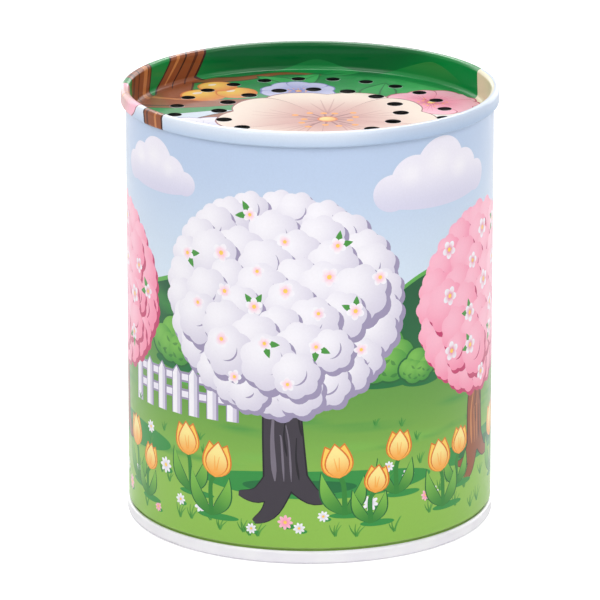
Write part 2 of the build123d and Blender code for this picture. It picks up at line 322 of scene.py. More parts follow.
def smooth_path(points: list[Point], steps: int) -> list[Point]:
    """Runs a smooth curve through a few points, as a Catmull-Rom spline.

    Args:
        points: what the curve passes through, in order.
        steps: pieces between one point and the next.

    Returns:
        Points along the curve.
    """
    held = [points[0], *points, points[-1]]
    path = []
    for before, first, last, after in zip(held, held[1:], held[2:], held[3:]):
        for i in range(steps):
            t = i / steps
            weights = (-t + 2 * t**2 - t**3, 2 - 5 * t**2 + 3 * t**3, t + 4 * t**2 - 3 * t**3, t**3 - t**2)
            spots = (before, first, last, after)
            x, y = (0.5 * sum(w * spot[axis] for w, spot in zip(weights, spots)) for axis in (0, 1))
            path.append((x, y))
    return path + [points[-1]]


def stroke(points: list[Point], width: float, tip: float, steps: int = 6, root: float = 1.0) -> Outline:
    """Draws a brush stroke that thins towards its end.

    Args:
        points: what its midline passes through.
        width: at its widest, near its start.
        tip: its width at its end, as a share of the widest.
        steps: pieces between one point and the next.
        root: its width at its very start, as a share of the widest.

    Returns:
        Points round the stroke.
    """
    path = np.array(smooth_path(points, steps))
    run = np.gradient(path, axis=0)
    run /= np.maximum(np.hypot(*run.T), 1e-9)[:, None]
    aside = np.stack([-run[:, 1], run[:, 0]], 1)
    shares = np.interp(np.linspace(0, 1, len(path)), (0, 0.2, 1), (root, 0.8 + 0.2 * tip, tip))
    half = width / 2 * shares[:, None]
    left, right = path + aside * half, path - aside * half
    return [(float(x), float(y)) for x, y in np.concatenate([left, right[::-1]])]


def curl(centre: Point, radius: float, start: float, end: float, width: float) -> Outline:
    """Draws a thin arc that comes to a point at both ends.

    Args:
        centre: of the arc.
        radius: of the arc.
        start: degrees at its first point.
        end: degrees at its last point.
        width: in its middle.

    Returns:
        Points round the arc.
    """
    count = max(LEAST_CURL_STEPS, int(abs(end - start) / CURL_TURN))
    outer, inner = [], []
    for i in range(count + 1):
        angle = start + (end - start) * i / count
        half = width / 2 * math.sin(math.pi * i / count)
        outer.append(away(centre, radius + half, angle))
        inner.append(away(centre, radius - half, angle))
    return outer + inner[-2:0:-1]


def arc_band(inner: float, outer: float, start: float, end: float) -> Outline:
    """Draws a band that runs part of the way round the origin.

    Args:
        inner: its inner radius.
        outer: its outer radius.
        start: degrees at its first end.
        end: degrees at its last end.

    Returns:
        Points round the band.
    """
    count = int((end - start) / BAND_TURN)
    turns = [start + (end - start) * i / count for i in range(count + 1)]
    return [away((0, 0), outer, turn) for turn in turns] + [away((0, 0), inner, turn) for turn in turns[::-1]]


def below(
    crest: Callable[[float], float], left: float, right: float, floor: float, step: float = 1.5
) -> Outline:
    """Draws all that lies between a curve and a level.

    Args:
        crest: the curve's height at each place across.
        left: where the area starts.
        right: where it ends.
        floor: the level.
        step: distance between points of the curve.

    Returns:
        Points round the area.
    """
    count = int((right - left) / step)
    places = [left + (right - left) * i / count for i in range(count + 1)]
    return [(left, floor), (right, floor), *[(u, crest(u)) for u in reversed(places)]]


@dataclass
class Artwork:
    """Shapes drawn one over another on a flat blank."""

    outlines: list[Outline] = field(default_factory=list)
    washes: list[Wash] = field(default_factory=list)

    def paint(self, outline: Outline, wash: Wash) -> None:
        """Lays one more shape over those already drawn, with its points anticlockwise.

        Args:
            outline: points round the shape.
            wash: its fill.
        """
        turns = sum(a[0] * b[1] - b[0] * a[1] for a, b in zip(outline, outline[1:] + outline[:1]))
        self.outlines.append(outline if turns > 0 else outline[::-1])
        self.washes.append(wash)

    def haze(
        self, ink: Ink, centre: Point, across: float, up: float, strength: float, turn: float = 0.0
    ) -> None:
        """Lays a soft spot that fades out at its edge.

        Args:
            ink: its colour.
            centre: its middle.
            across: its radius along its own first axis.
            up: its radius along its own second axis.
            strength: how much it covers in its middle.
            turn: degrees that the first axis is turned from level.
        """
        wash = Wash(ink, ink, centre, away(centre, across, turn), up / across, (strength, 0.0))
        self.paint(ellipse(centre, across, up, turn), wash)

    def bloom(
        self, centre: Point, size: float, petals: int, light: Ink, shade: Ink, heart: Ink, turn: float
    ) -> None:
        """Draws an open flower.

        Args:
            centre: its middle.
            size: its radius.
            petals: how many it has.
            light: the ink at the petals' tips.
            shade: the ink at their roots.
            heart: the ink of its middle.
            turn: degrees from level to the first petal.
        """
        for i in range(petals):
            angle = turn + 360 * i / petals
            wash = Wash(shade, light, centre, away(centre, 0.75 * size, angle))
            width = min(0.42, 1.9 / petals) * size
            self.paint(ellipse(away(centre, 0.56 * size, angle), 0.46 * size, width, angle), wash)
        self.paint(ellipse(centre, 0.24 * size, 0.24 * size), flat(heart))


GOLDEN_ANGLE = 2.39996


@dataclass(frozen=True)
class Petals:
    """The inks of one kind of blossom."""

    light: Ink
    shade: Ink
    line: Ink
    small: Ink
    small_shade: Ink
    heart: Ink


WHITE_PETALS = Petals(Ink.BLOSSOM, Ink.BLOSSOM_SHADE, Ink.BLOSSOM_LINE,
                      Ink.BLOSSOM, Ink.PETAL_LIGHT, Ink.YOLK)
PINK_PETALS = Petals(Ink.PETAL_LIGHT, Ink.PETAL, Ink.PETAL_LINE,
                     Ink.BLOSSOM, Ink.PETAL_DEEP, Ink.YOLK)


@dataclass(frozen=True)
class Bark:
    """The inks of one kind of trunk."""

    body: Ink
    dark: Ink
    light: Ink


CHARCOAL_BARK = Bark(Ink.BARK, Ink.BARK_DARK, Ink.BARK_LIGHT)
BROWN_BARK = Bark(Ink.WOOD, Ink.WOOD_LINE, Ink.WOOD_LIGHT)


@dataclass(frozen=True)
class BlossomTree:
    """A tree in full blossom: a trunk with boughs, and a crown of round tufts."""

    foot: Point
    crown: Point
    spread: Point
    petals: Petals
    bark: Bark
    girth: float
    seed: int
    tuft: float = 4.6
    sprig_area: float = 21.0

    def draw(self, art: Artwork) -> None:
        """Draws the tree with its shadow.

        Args:
            art: what it is drawn on.
        """
        rng = Random(self.seed)
        self.draw_shadow(art)
        self.draw_trunk(art)
        for u, v, radius in self.tufts(rng):
            turn = rng.uniform(0, 60)
            edge = puff((u + 0.14 * radius, v - 0.18 * radius), 1.03 * radius, 7, turn)
            art.paint(edge, flat(self.petals.line))
            fill = ball(self.petals.light, self.petals.shade, (u, v), radius)
            art.paint(puff((u, v), radius, 7, turn), fill)
            if rng.random() < 0.6:
                start = rng.uniform(240, 300)
                art.paint(curl((u - 0.1 * radius, v + 0.1 * radius), radius * rng.uniform(0.4, 0.58), start,
                               start + rng.uniform(80, 130), 0.34), flat(self.petals.line))
        self.draw_sprigs(art, rng)

    def draw_shadow(self, art: Artwork) -> None:
        """Draws the tree's shade on the grass.

        Args:
            art: what it is drawn on.
        """
        (u, v), wide = self.foot, self.spread[0]
        art.paint(ellipse((u + 0.25 * wide, v + 0.6), 0.95 * wide, 2.5), flat(Ink.SHADOW))
        art.paint(ellipse((u + 0.1 * wide, v + 0.2), 0.45 * wide, 1.3), flat(Ink.SHADOW_DEEP))

    def draw_trunk(self, art: Artwork) -> None:
        """Draws roots, trunk, boughs and the lines of the bark.

        Args:
            art: what they are drawn on.
        """
        (u, v), (x, y), girth = self.foot, self.crown, self.girth
        fork = (u + 0.6 * (x - u), v + 0.58 * (y - v))
        tall = self.spread[1]
        boughs = [[fork, away(fork, 0.5 * tall, turn), away(fork, 0.95 * tall, turn + bend)]
                  for turn, bend in ((148, -22), (112, 10), (82, -14), (38, 20))]
        trunk = [(u, v - 0.4), (u - 0.08 * girth, v + 0.3 * (y - v)), fork, (fork[0], fork[1] + 2)]
        roots = [[(u, v + 3.5), away((u, v), 0.62 * girth, turn), away((u, v), 1.15 * girth, turn - lift)]
                 for turn, lift in ((196, 6), (-16, -6), (236, 8))]
        for grow, ink in ((0.7, self.bark.dark), (0.0, self.bark.body)):
            for bough in boughs:
                art.paint(stroke(bough, 0.42 * girth + grow, 0.35), flat(ink))
            for root in roots:
                art.paint(stroke(root, 0.66 * girth + grow, 0.16), flat(ink))
            art.paint(stroke(trunk, girth + grow, 0.66), flat(ink))
        for side, length, width in ((-0.26, 0.78, 0.16), (-0.05, 0.5, 0.07), (0.12, 0.66, 0.06)):
            path = [(u + side * girth, v + 1.2), (u + (side - 0.06) * girth, v + 0.26 * (y - v)),
                    (fork[0] + side * 0.6 * girth, v + length * (fork[1] - v))]
            art.paint(stroke(path, width * girth, 0.2, 6, 0.15), flat(self.bark.light))
        for side, start, length in ((0.3, 0.08, 0.4), (0.02, 0.3, 0.4), (0.36, 0.5, 0.3)):
            low = v + start * (fork[1] - v)
            path = [(u + side * girth, low), (u + (side - 0.07) * girth, low + 0.5 * length * (fork[1] - v)),
                    (u + side * 0.8 * girth, low + length * (fork[1] - v))]
            art.paint(stroke(path, 0.07 * girth, 0.3, 6, 0.2), flat(self.bark.dark))

    def tufts(self, rng: Random) -> list[tuple[float, float, float]]:
        """Places the crown's tufts: a ring of them, then the middle from the top down.

        Args:
            rng: where the small differences come from.

        Returns:
            Middle and radius of each tuft.
        """
        (x, y), (wide, tall), size = self.crown, self.spread, self.tuft
        count = int(2 * math.pi * math.sqrt((wide**2 + tall**2) / 2) / (1.12 * size))
        rim = []
        for i in range(count):
            angle = 90 + 360 * i / count + rng.uniform(-3, 3)
            radius = size * rng.uniform(0.78, 1.12)
            rim.append((x + (wide - radius) * math.cos(math.radians(angle)),
                        y + (tall - radius) * math.sin(math.radians(angle)), radius))
        inner = []
        total = int(1.15 * wide * tall / size**2)
        for i in range(total):
            share, angle = math.sqrt((i + 0.5) / total), GOLDEN_ANGLE * i
            inner.append((x + (wide - 1.5 * size) * share * math.cos(angle),
                          y + (tall - 1.5 * size) * share * math.sin(angle), size * rng.uniform(0.86, 1.2)))
        rim.sort(key=lambda tuft: -tuft[1])
        inner.sort(key=lambda tuft: -tuft[1])
        return rim + inner

    def draw_sprigs(self, art: Artwork, rng: Random) -> None:
        """Scatters open flowers and a few young leaves over the crown.

        Args:
            art: what they are drawn on.
            rng: where their places come from.
        """
        (x, y), (wide, tall) = self.crown, self.spread
        kind = self.petals
        total = wide * tall / self.sprig_area
        for i in range(int(total)):
            share, angle = 0.86 * math.sqrt((i + 0.5) / total), GOLDEN_ANGLE * i + 1.1
            spot = (x + wide * share * math.cos(angle) + rng.uniform(-1, 1),
                    y + tall * share * math.sin(angle) + rng.uniform(-1, 1))
            turn = rng.uniform(0, 360)
            if i % 3 == 1:
                for side in (-34, 34):
                    art.paint(leaf(spot, 2.7, 1.15, turn + side, 0.45), flat(Ink.BUSH))
            art.bloom(spot, rng.uniform(1.25, 1.8), 5, kind.small, kind.small_shade, kind.heart, turn)


@dataclass(frozen=True)
class Bush:
    """A round bush: a row of tufts that stands on the ground."""

    foot: Point
    width: float
    height: float
    seed: int

    def draw(self, art: Artwork) -> None:
        """Draws the bush with its shadow.

        Args:
            art: what it is drawn on.
        """
        rng = Random(self.seed)
        u, v = self.foot
        art.paint(ellipse((u + 0.8, v), 0.62 * self.width, 0.09 * self.width + 0.5), flat(Ink.SHADOW_DEEP))
        heads = [(0.0, 0.62, 0.36), (-0.3, 0.42, 0.29), (0.3, 0.44, 0.28), (-0.12, 0.3, 0.3),
                 (0.16, 0.28, 0.29)]
        tufts = [(u + x * self.width, v + y * self.height, r * self.width * rng.uniform(0.92, 1.08))
                 for x, y, r in heads]
        for x, y, r in tufts:
            art.paint(ellipse((x, y), r + 0.35, min(r, y - v + 0.4) + 0.35), flat(Ink.BUSH_EDGE))
        for x, y, r in tufts:
            art.paint(ellipse((x, y), r, min(r, y - v + 0.4)), ball(Ink.BUSH_LIGHT, Ink.BUSH, (x, y), r, 1.5))
        for x, y, r in tufts:
            for start in (200, 262):
                fold = curl((x, y), 0.6 * r, start, start + 46, 0.06 * self.width)
                art.paint(fold, flat(Ink.BUSH_EDGE, 0.55))


@dataclass(frozen=True)
class Cloud:
    """A soft flat-bottomed cloud."""

    centre: Point
    width: float

    def draw(self, art: Artwork) -> None:
        """Draws the cloud.

        Args:
            art: what it is drawn on.
        """
        (u, v), wide = self.centre, self.width
        heads = [(-0.36, 0.0, 0.13), (-0.2, 0.07, 0.17), (0.02, 0.12, 0.21), (0.22, 0.05, 0.16),
                 (0.38, -0.01, 0.11)]
        fill = upright(Ink.CLOUD_SHADE, Ink.CLOUD, v - 0.12 * wide, v + 0.14 * wide)
        art.paint(ellipse((u + 0.01 * wide, v - 0.06 * wide), 0.43 * wide, 0.075 * wide), fill)
        for x, y, r in heads:
            art.paint(ellipse((u + x * wide, v + y * wide), r * wide, 0.92 * r * wide), fill)
        for x, y, r in heads[1:4]:
            spot = (u + (x - 0.03) * wide, v + (y + 0.04) * wide)
            art.haze(Ink.BLOSSOM, spot, 0.7 * r * wide, 0.6 * r * wide, 0.8)


@dataclass(frozen=True)
class Tulip:
    """A yellow tulip with two leaves."""

    foot: Point
    height: float
    lean: float = 0.0

    def draw(self, art: Artwork) -> None:
        """Draws the tulip with its shadow.

        Args:
            art: what it is drawn on.
        """
        (u, v), size = self.foot, 0.46 * self.height
        neck = away(self.foot, self.height - size, 90 - self.lean)
        art.paint(ellipse((u + 1.2, v), 0.3 * self.height, 0.6), flat(Ink.SHADOW))
        for turn, bow, length in ((118, 0.12, 0.66), (64, -0.12, 0.58)):
            tip = away(self.foot, length * self.height, turn)
            art.paint(leaf(self.foot, length * self.height + 0.3, 0.17 * self.height + 0.4, turn, 0.42, bow),
                      flat(Ink.BUSH_EDGE))
            art.paint(leaf(self.foot, length * self.height, 0.17 * self.height, turn, 0.42, bow),
                      Wash(Ink.STEM, Ink.STEM_LIGHT, self.foot, tip))
        stem = [self.foot, away(self.foot, 0.4 * self.height, 92), neck]
        art.paint(stroke(stem, 0.95, 0.8), flat(Ink.STEM))
        base = away(neck, 0.3, 270 - self.lean)
        for side, width in ((16, 0.62), (-16, 0.62), (0, 0.66)):
            turn = 90 - self.lean + side
            art.paint(leaf(base, size + 0.35, width * size + 0.5, turn, 0.42), flat(Ink.AMBER_LINE))
            fill = Wash(Ink.AMBER, Ink.YOLK if side else Ink.YOLK_LIGHT, base, away(base, 0.75 * size, turn))
            art.paint(leaf(base, size, width * size, turn, 0.42), fill)
        for side in (-7, 7):
            turn = 90 - self.lean + side
            art.paint(stroke([away(base, 0.2 * size, turn), away(base, 0.62 * size, turn)], 0.3, 0.3),
                      flat(Ink.AMBER, 0.8))


@dataclass(frozen=True)
class Fence:
    """A run of white pickets on two rails, along a line on the ground."""

    left: float
    right: float
    ground: Callable[[float], float]
    height: float = 8.4
    pitch: float = 3.9

    def draw(self, art: Artwork) -> None:
        """Draws the fence.

        Args:
            art: what it is drawn on.
        """
        width = 0.46 * self.pitch
        for level in (0.3, 0.66):
            rail = [(u, self.ground(u) + level * self.height) for u in (self.left, self.right)]
            for shift, depth, ink in ((-0.35, 1.5, Ink.BLOSSOM_LINE), (0.0, 1.1, Ink.CLOUD)):
                art.paint([(rail[0][0], rail[0][1] + shift), (rail[1][0], rail[1][1] + shift),
                           (rail[1][0], rail[1][1] + depth), (rail[0][0], rail[0][1] + depth)], flat(ink))
        for i in range(int((self.right - self.left) / self.pitch) + 1):
            u = self.left + i * self.pitch
            v = self.ground(u) - 0.6
            for grow, shift, ink in ((0.3, 0.12, Ink.BLOSSOM_LINE), (0.0, 0.0, Ink.BLOSSOM)):
                half, x, top = width / 2 + grow, u + shift, v + self.height + grow
                art.paint([(x - half, v), (x + half, v), (x + half, top - 1.3), (x, top),
                           (x - half, top - 1.3)], flat(ink))
            art.paint([(u + 0.1 * width, v), (u + 0.5 * width, v), (u + 0.5 * width, v + self.height - 1.3),
                       (u + 0.1 * width, v + self.height - 0.4)], flat(Ink.BLOSSOM_SHADE))


def hills(u: float, level: float, humps: tuple[tuple[float, float, float], ...]) -> float:
    """Returns the height at u of a row of rounded hills, each given as its place, width and height."""
    return level + sum(height * math.exp(-(((u - place) / width) ** 2)) for place, width, height in humps)


@dataclass
class Meadow:
    """The wall's picture: an orchard in blossom between hills, sky and flowering grass.

    It reaches half its width to either side of its middle, and from low to high.
    """

    half: float
    low: float
    high: float
    margin: float = 1.2
    edge: float = 2.0
    shades: int = 26
    lights: int = 18
    grass_tufts: int = 120
    daisies: int = 60
    art: Artwork = field(default_factory=Artwork)
    trees: tuple[BlossomTree, ...] = (
        BlossomTree((-46, 17), (-46, 43.5), (16, 15.5), PINK_PETALS, BROWN_BARK, 4.8, 31, 3.7),
        BlossomTree((76, 17), (76, 43), (18, 16), WHITE_PETALS, CHARCOAL_BARK, 5.4, 12, 3.9),
        BlossomTree((-82, 20), (-82, 41), (12.5, 12), WHITE_PETALS, BROWN_BARK, 3.6, 14, 3.2),
        BlossomTree((35.5, 15), (36.5, 42.5), (17.5, 17), PINK_PETALS, BROWN_BARK, 5.6, 23, 4.0),
        BlossomTree((-4, 13.5), (-5.5, 46), (22, 20), WHITE_PETALS, CHARCOAL_BARK, 7.4, 7, 4.4),
    )

    def draw(self) -> Artwork:
        """Draws the whole picture, from the sky forwards.

        Returns:
            The finished artwork.
        """
        art = self.art
        half = self.half
        art.paint([(-half, self.low), (half, self.low), (half, self.high), (-half, self.high)],
                  upright(Ink.SKY_LOW, Ink.SKY_HIGH, 44, 72))
        for u, v, width in ((24, 64.5, 27), (-31, 65, 21), (62, 64, 25), (-78, 61, 28), (90, 60, 18)):
            Cloud((u, v), width).draw(art)
        self.draw_hills()
        self.draw_grass()
        self.draw_far_orchard()
        self.draw_trees()
        self.draw_flowers()
        for side in (-1, 1):
            ends = sorted((side * (half - self.margin), side * half))
            art.paint([(ends[0], self.low), (ends[1], self.low), (ends[1], self.high), (ends[0], self.high)],
                      flat(Ink.COAT))
        return art

    def ridge(
        self, crest: Callable[[float], float], low_ink: Ink, high_ink: Ink, low: float, high: float
    ) -> None:
        """Draws one range of hills with a sunlit edge.

        Args:
            crest: its outline.
            low_ink: the ink at its bottom.
            high_ink: the ink at its top.
            low: level of the first ink.
            high: level of the last.
        """
        self.art.paint(below(crest, -self.half, self.half, self.low), flat(Ink.RIDGE))
        self.art.paint(below(lambda u: crest(u) - 0.75, -self.half, self.half, self.low),
                       upright(low_ink, high_ink, low, high))

    def far_crest(self, u: float) -> float:
        """Returns the height of the far hills."""
        return hills(u, 37, ((-60, 20, 22), (-20, 15, 12), (24, 17, 13.5), (66, 19, 20), (99, 14, 9)))

    def mid_crest(self, u: float) -> float:
        """Returns the height of the nearer hills."""
        return hills(u, 33, ((-86, 18, 11), (-38, 13, 9), (3, 15, 7), (46, 14, 10), (84, 12, 8)))

    def turf(self, u: float) -> float:
        """Returns the height of the meadow's far edge."""
        return 31 + 1.6 * math.sin(u / 11) + 1.1 * math.sin(u / 5.3 + 1)

    def draw_hills(self) -> None:
        """Draws both ranges, with folds in their sides."""
        art = self.art
        self.ridge(self.far_crest, Ink.HILL_DARK, Ink.HILL_DEEP, 30, 58)
        for u, v, across, up, turn in ((-56, 49, 12, 3.4, -34), (-28, 43, 10, 2.6, -20), (31, 44, 10, 3, -28),
                                       (72, 48, 12, 3.6, -30), (59, 46, 9, 3, 40)):
            art.haze(Ink.HILL_MID, (u, v), across, up, 0.9, turn)
        self.ridge(self.mid_crest, Ink.MEADOW_FAR, Ink.HILL_MID, 28, 44)
        for u, v, across, up, turn in ((-80, 39, 13, 2.4, -24), (-33, 38, 9, 1.9, -28),
                                       (10, 36, 11, 1.9, -18), (52, 39, 10, 2.2, -30), (88, 37, 8, 2, -24)):
            art.haze(Ink.HILL_DARK, (u, v), across, up, 0.75, turn)
        for c, w in ((-38, 12), (3, 14), (46, 13), (-86, 16)):
            for k in range(3):
                path = [(c - w * 0.9 + k * 3.4, self.turf(c) + 0.4 + k),
                        (c - w * 0.35 + k * 2.4, self.mid_crest(c - w * 0.35) - 3.4 - 0.4 * k),
                        (c + w * 0.1 + k * 1.6, self.mid_crest(c) - 1.7 - 0.8 * k)]
                art.paint(stroke(path, 0.55, 0.5), flat(Ink.RIDGE, 0.7))

    def draw_grass(self) -> None:
        """Draws the meadow with bands of light and shade."""
        art = self.art
        art.paint(below(self.turf, -self.half, self.half, self.low), flat(Ink.RIDGE))
        art.paint(below(lambda u: self.turf(u) - 0.5, -self.half, self.half, self.low),
                  upright(Ink.MEADOW_NEAR, Ink.MEADOW_FAR, 9, 33))
        rng = Random(5)
        for i in range(self.shades):
            u = -self.half + 2 * self.half * (i + rng.random()) / self.shades
            v = rng.uniform(12, 28)
            art.haze(Ink.SHADOW, (u, v), rng.uniform(7, 13), rng.uniform(0.6, 1.2), 0.62, rng.uniform(-5, 5))
        for i in range(self.lights):
            u = -self.half + 2 * self.half * (i + rng.random()) / self.lights
            art.haze(Ink.BUSH_LIGHT, (u, rng.uniform(7, 24)), rng.uniform(7, 12), rng.uniform(0.9, 1.6), 0.5)

    def draw_far_orchard(self) -> None:
        """Draws what stands between the hills and the orchard: bushes and fences."""
        art = self.art
        for foot, width, height, seed in (((-26, 33), 9, 8, 1), ((12.5, 32), 11, 9, 2), ((53, 33.5), 9, 8, 4),
                                          ((-70, 33), 12, 9, 5), ((-93, 32), 9, 7, 6), ((63, 32), 7, 6, 7),
                                          ((-63, 31.5), 7, 6, 8), ((19.5, 31), 6.5, 5.5, 9)):
            Bush(foot, width, height, seed).draw(art)
        Fence(-37, -13, lambda u: 24.6 + 0.04 * (u + 25)).draw(art)
        Fence(54, 95.5, lambda u: 25.2 + 0.02 * (u - 74)).draw(art)
        Fence(-95.5, -60, lambda u: 24.8).draw(art)

    def draw_trees(self) -> None:
        """Draws the orchard."""
        for tree in self.trees:
            tree.draw(self.art)

    def clear(self, u: float, v: float) -> bool:
        """Says whether a spot on the grass lies clear of every trunk and its roots."""
        return all(abs(u - tree.foot[0]) > 1.9 * tree.girth or v < tree.foot[1] - 0.55 * tree.girth
                   for tree in self.trees)

    def draw_flowers(self) -> None:
        """Draws the flowers and grass in front of the orchard."""
        art = self.art
        rng = Random(11)
        width = 2 * (self.half - self.edge)
        for i in range(self.grass_tufts):
            u = -self.half + self.edge + width * (i + rng.random()) / self.grass_tufts
            v = 4.6 + 22 * rng.random() ** 1.6
            if not self.clear(u, v):
                continue
            reach = 1.1 + 1.9 * (1 - v / 28)
            for turn in (118, 96, 74, 56):
                tip = away((u, v), reach * rng.uniform(0.75, 1.1), turn + rng.uniform(-8, 8))
                middle = ((u + tip[0]) / 2 - 0.08 * reach, (v + tip[1]) / 2)
                ink = Ink.STEM if turn > 80 else Ink.BUSH
                art.paint(stroke([(u, v), middle, tip], 0.42, 0.2, 3), flat(ink, 0.85))
        for i in range(self.daisies):
            u = -self.half + self.edge + width * (i + rng.random()) / self.daisies
            spot = (u, rng.uniform(5, 23))
            size = rng.uniform(0.9, 1.5)
            if not self.clear(*spot):
                continue
            under = (spot[0] + 0.5, spot[1] - 0.55 * size)
            art.paint(ellipse(under, 0.9 * size, 0.4 * size), flat(Ink.SHADOW))
            shade = Ink.BLOSSOM_SHADE if i % 4 else Ink.PETAL
            light = Ink.BLOSSOM if i % 4 else Ink.PETAL_LIGHT
            art.bloom(spot, size, 8, light, shade, Ink.YOLK, rng.uniform(0, 45))
        stands = [(-38, 8.4, 12, -7), (-34, 6.8, 10, 8), (-22, 10.6, 12.5, -5), (-17.6, 7.2, 13.5, 6),
                  (6, 8.6, 13, -8), (10.6, 6.8, 10.5, 8), (15.4, 11.4, 11.5, 3), (25.5, 7.2, 12.5, -6),
                  (29.2, 10.2, 10.5, 6), (45, 8, 13, -4), (49, 10.5, 11, 9), (60, 8, 12.5, -5),
                  (64.5, 6.6, 10.5, 8), (86, 9, 12.5, 4), (91, 7, 11, -7), (-60, 9, 12.5, 6),
                  (-65, 6.8, 11, -6), (-91, 8, 12, 3), (-73, 11, 11, 5)]
        for u, v, height, lean in sorted(stands, key=lambda stand: -stand[1]):
            Tulip((u, v), height, lean).draw(art)


@dataclass
class Posy:
    """The top's picture: blossom on boughs over a green hill, drawn as a disc with its front downwards.

    It reaches from its middle to the blank's edge, past its sky and then the rim's crest.
    """

    reach: float
    sky: float = 33.0
    crest: float = 36.2
    art: Artwork = field(default_factory=Artwork)

    def draw(self) -> Artwork:
        """Draws the whole picture.

        Returns:
            The finished artwork.
        """
        art, reach = self.art, self.reach
        # the rim's pale print, with a painted highlight at the crest that fades to pale blue down the outer
        # face
        art.paint(circle((0, 0), reach, 240),
                  Wash(Ink.RIM_HIGH, Ink.RIM_LOW, (0, 0), (reach - 0.8, 0), 1.0, core=0.935))
        # the sky pales towards the rim: painted highlight near the crest
        art.paint(circle((0, 0), self.sky, 120),
                  Wash(Ink.SKY_LOW, Ink.RIM_HIGH, (0, 0), (self.sky, 0), 1.0, core=0.75))
        self.draw_hills()
        self.draw_rim_side()
        self.draw_boughs()
        self.draw_leaves()
        self.draw_flowers()
        return art

    def draw_hills(self) -> None:
        """Draws the green that covers the back half, and the pale field on its right."""
        art, reach = self.art, self.reach + 1
        edge = smooth_path([(-reach, -1), (-26, -2), (-8, 3), (8, 1), (26, -4), (reach, -9)], 8)
        # the green deepens towards the back and over the recess wall there: the print's own darker green, and
        # partly painted shade in the recess
        art.paint(edge + [(reach, reach), (-reach, reach)], upright(Ink.LEAF, Ink.LEAF_DARK, 22, 31))
        bright = smooth_path([(-27, 4), (-12, 17), (4, 25), (19, 21), (30, 6), (24, -2)], 8)
        art.paint(bright + [(0, -2)], Wash(Ink.LEAF_LIGHT, Ink.LEAF, (22, 6), (0, 16)))
        for turns, grow, inks in (((70, 58, 46, 34, 22), 0.0, (Ink.LEAF, Ink.HILL_MID)),
                                  ((112, 100, 88, 76, 66), -1.6, (Ink.LEAF, Ink.HILL_DARK))):
            heights = (29.9, 32.6 + grow, 34.6 + grow, 32.8 + grow, 29.9)
            hill = smooth_path([away((0, 0), r, turn) for r, turn in zip(heights, turns)], 8)
            art.paint(hill, Wash(*inks, away((0, 0), 30, turns[2]), away((0, 0), 35, turns[2])))
        bounds = [away((0, 0), 40.5, 21), away((0, 0), 31, 20), (21, 4.5), (15, -3), (19, -12),
                  away((0, 0), 30, -40), away((0, 0), 40.5, -30)]
        field_edge = smooth_path(bounds, 8)
        art.paint(field_edge + [away((0, 0), 44, -18), away((0, 0), 44, 6)],
                  Wash(Ink.BLOSSOM, Ink.FIELD, (16, -12), (34, 8)))
        art.haze(Ink.LEAF_DARK, (-4, 20), 15, 4, 0.7, 12)

    def draw_rim_side(self) -> None:
        """Draws the outer face of the rim on the right in pale blue, with painted shade that makes it a
        little deeper than in front.
        """
        art, reach, crest = self.art, self.reach, self.crest
        # pale blue over the field, with the same painted highlight at the crest
        art.paint(arc_band(crest, reach + 1, -54, 21),
                  Wash(Ink.RIM_HIGH, Ink.RIM_LOW, (0, 0), (reach - 0.8, 0), 1.0, core=0.935))
        # painted shade over the rim's right side, fading in from the front
        art.paint(arc_band(crest, reach + 1, -84, 21),
                  Wash(Ink.RIM_SHADE, Ink.RIM_SHADE, away((0, 0), reach, -84), away((0, 0), reach, -60),
                       cover=(0.0, 0.3)))

    def draw_boughs(self) -> None:
        """Draws the boughs that come in from the left, with their twigs and bark."""
        art = self.art
        parts = [
            ([(-46, 13), (-36, 12), (-27, 7), (-17, 6), (-6, 9)], 15, 0.08),
            ([(-30, 41), (-26, 31), (-24, 20), (-24, 8)], 10, 0.5),
            ([(-40, -28), (-31, -22), (-24, -13), (-16, -4), (-9, 2)], 6.6, 0.4),
            ([(-22, 22), (-13, 23), (-5, 27), (2, 26)], 3.4, 0.15),
        ]
        for grow, ink in ((1.2, Ink.WOOD_LINE), (0.0, Ink.WOOD)):
            for points, width, tip in parts:
                art.paint(stroke(points, width + grow, tip, 8), flat(ink))
        for points, width, ink in (
            ([(-45, 17), (-35, 15.6), (-26, 9.6), (-15, 7.4)], 2.6, Ink.WOOD_LIGHT),
            ([(-45, 9), (-36, 8.2), (-28, 4.4), (-20, 4.6)], 2.4, Ink.WOOD_DARK),
            ([(-44, 13), (-35, 11.4), (-28, 7.4)], 1.1, Ink.WOOD_LINE),
            ([(-45, 20.4), (-37, 18.6), (-31, 14.4)], 0.9, Ink.WOOD_LINE),
            ([(-31, 40), (-27.4, 30), (-25.8, 18)], 1.9, Ink.WOOD_LIGHT),
            ([(-27, 40), (-23.4, 30), (-22, 20)], 1.5, Ink.WOOD_DARK),
            ([(-29, 40), (-25.6, 30), (-24, 16)], 0.9, Ink.WOOD_LINE),
            ([(-40, -25.6), (-32, -20.4), (-25.6, -12.4)], 1.3, Ink.WOOD_DARK),
            ([(-38.6, -28.6), (-30.6, -23), (-23.4, -13.6)], 1.2, Ink.WOOD_LIGHT),
        ):
            art.paint(stroke(points, width, 0.12, 8), flat(ink))

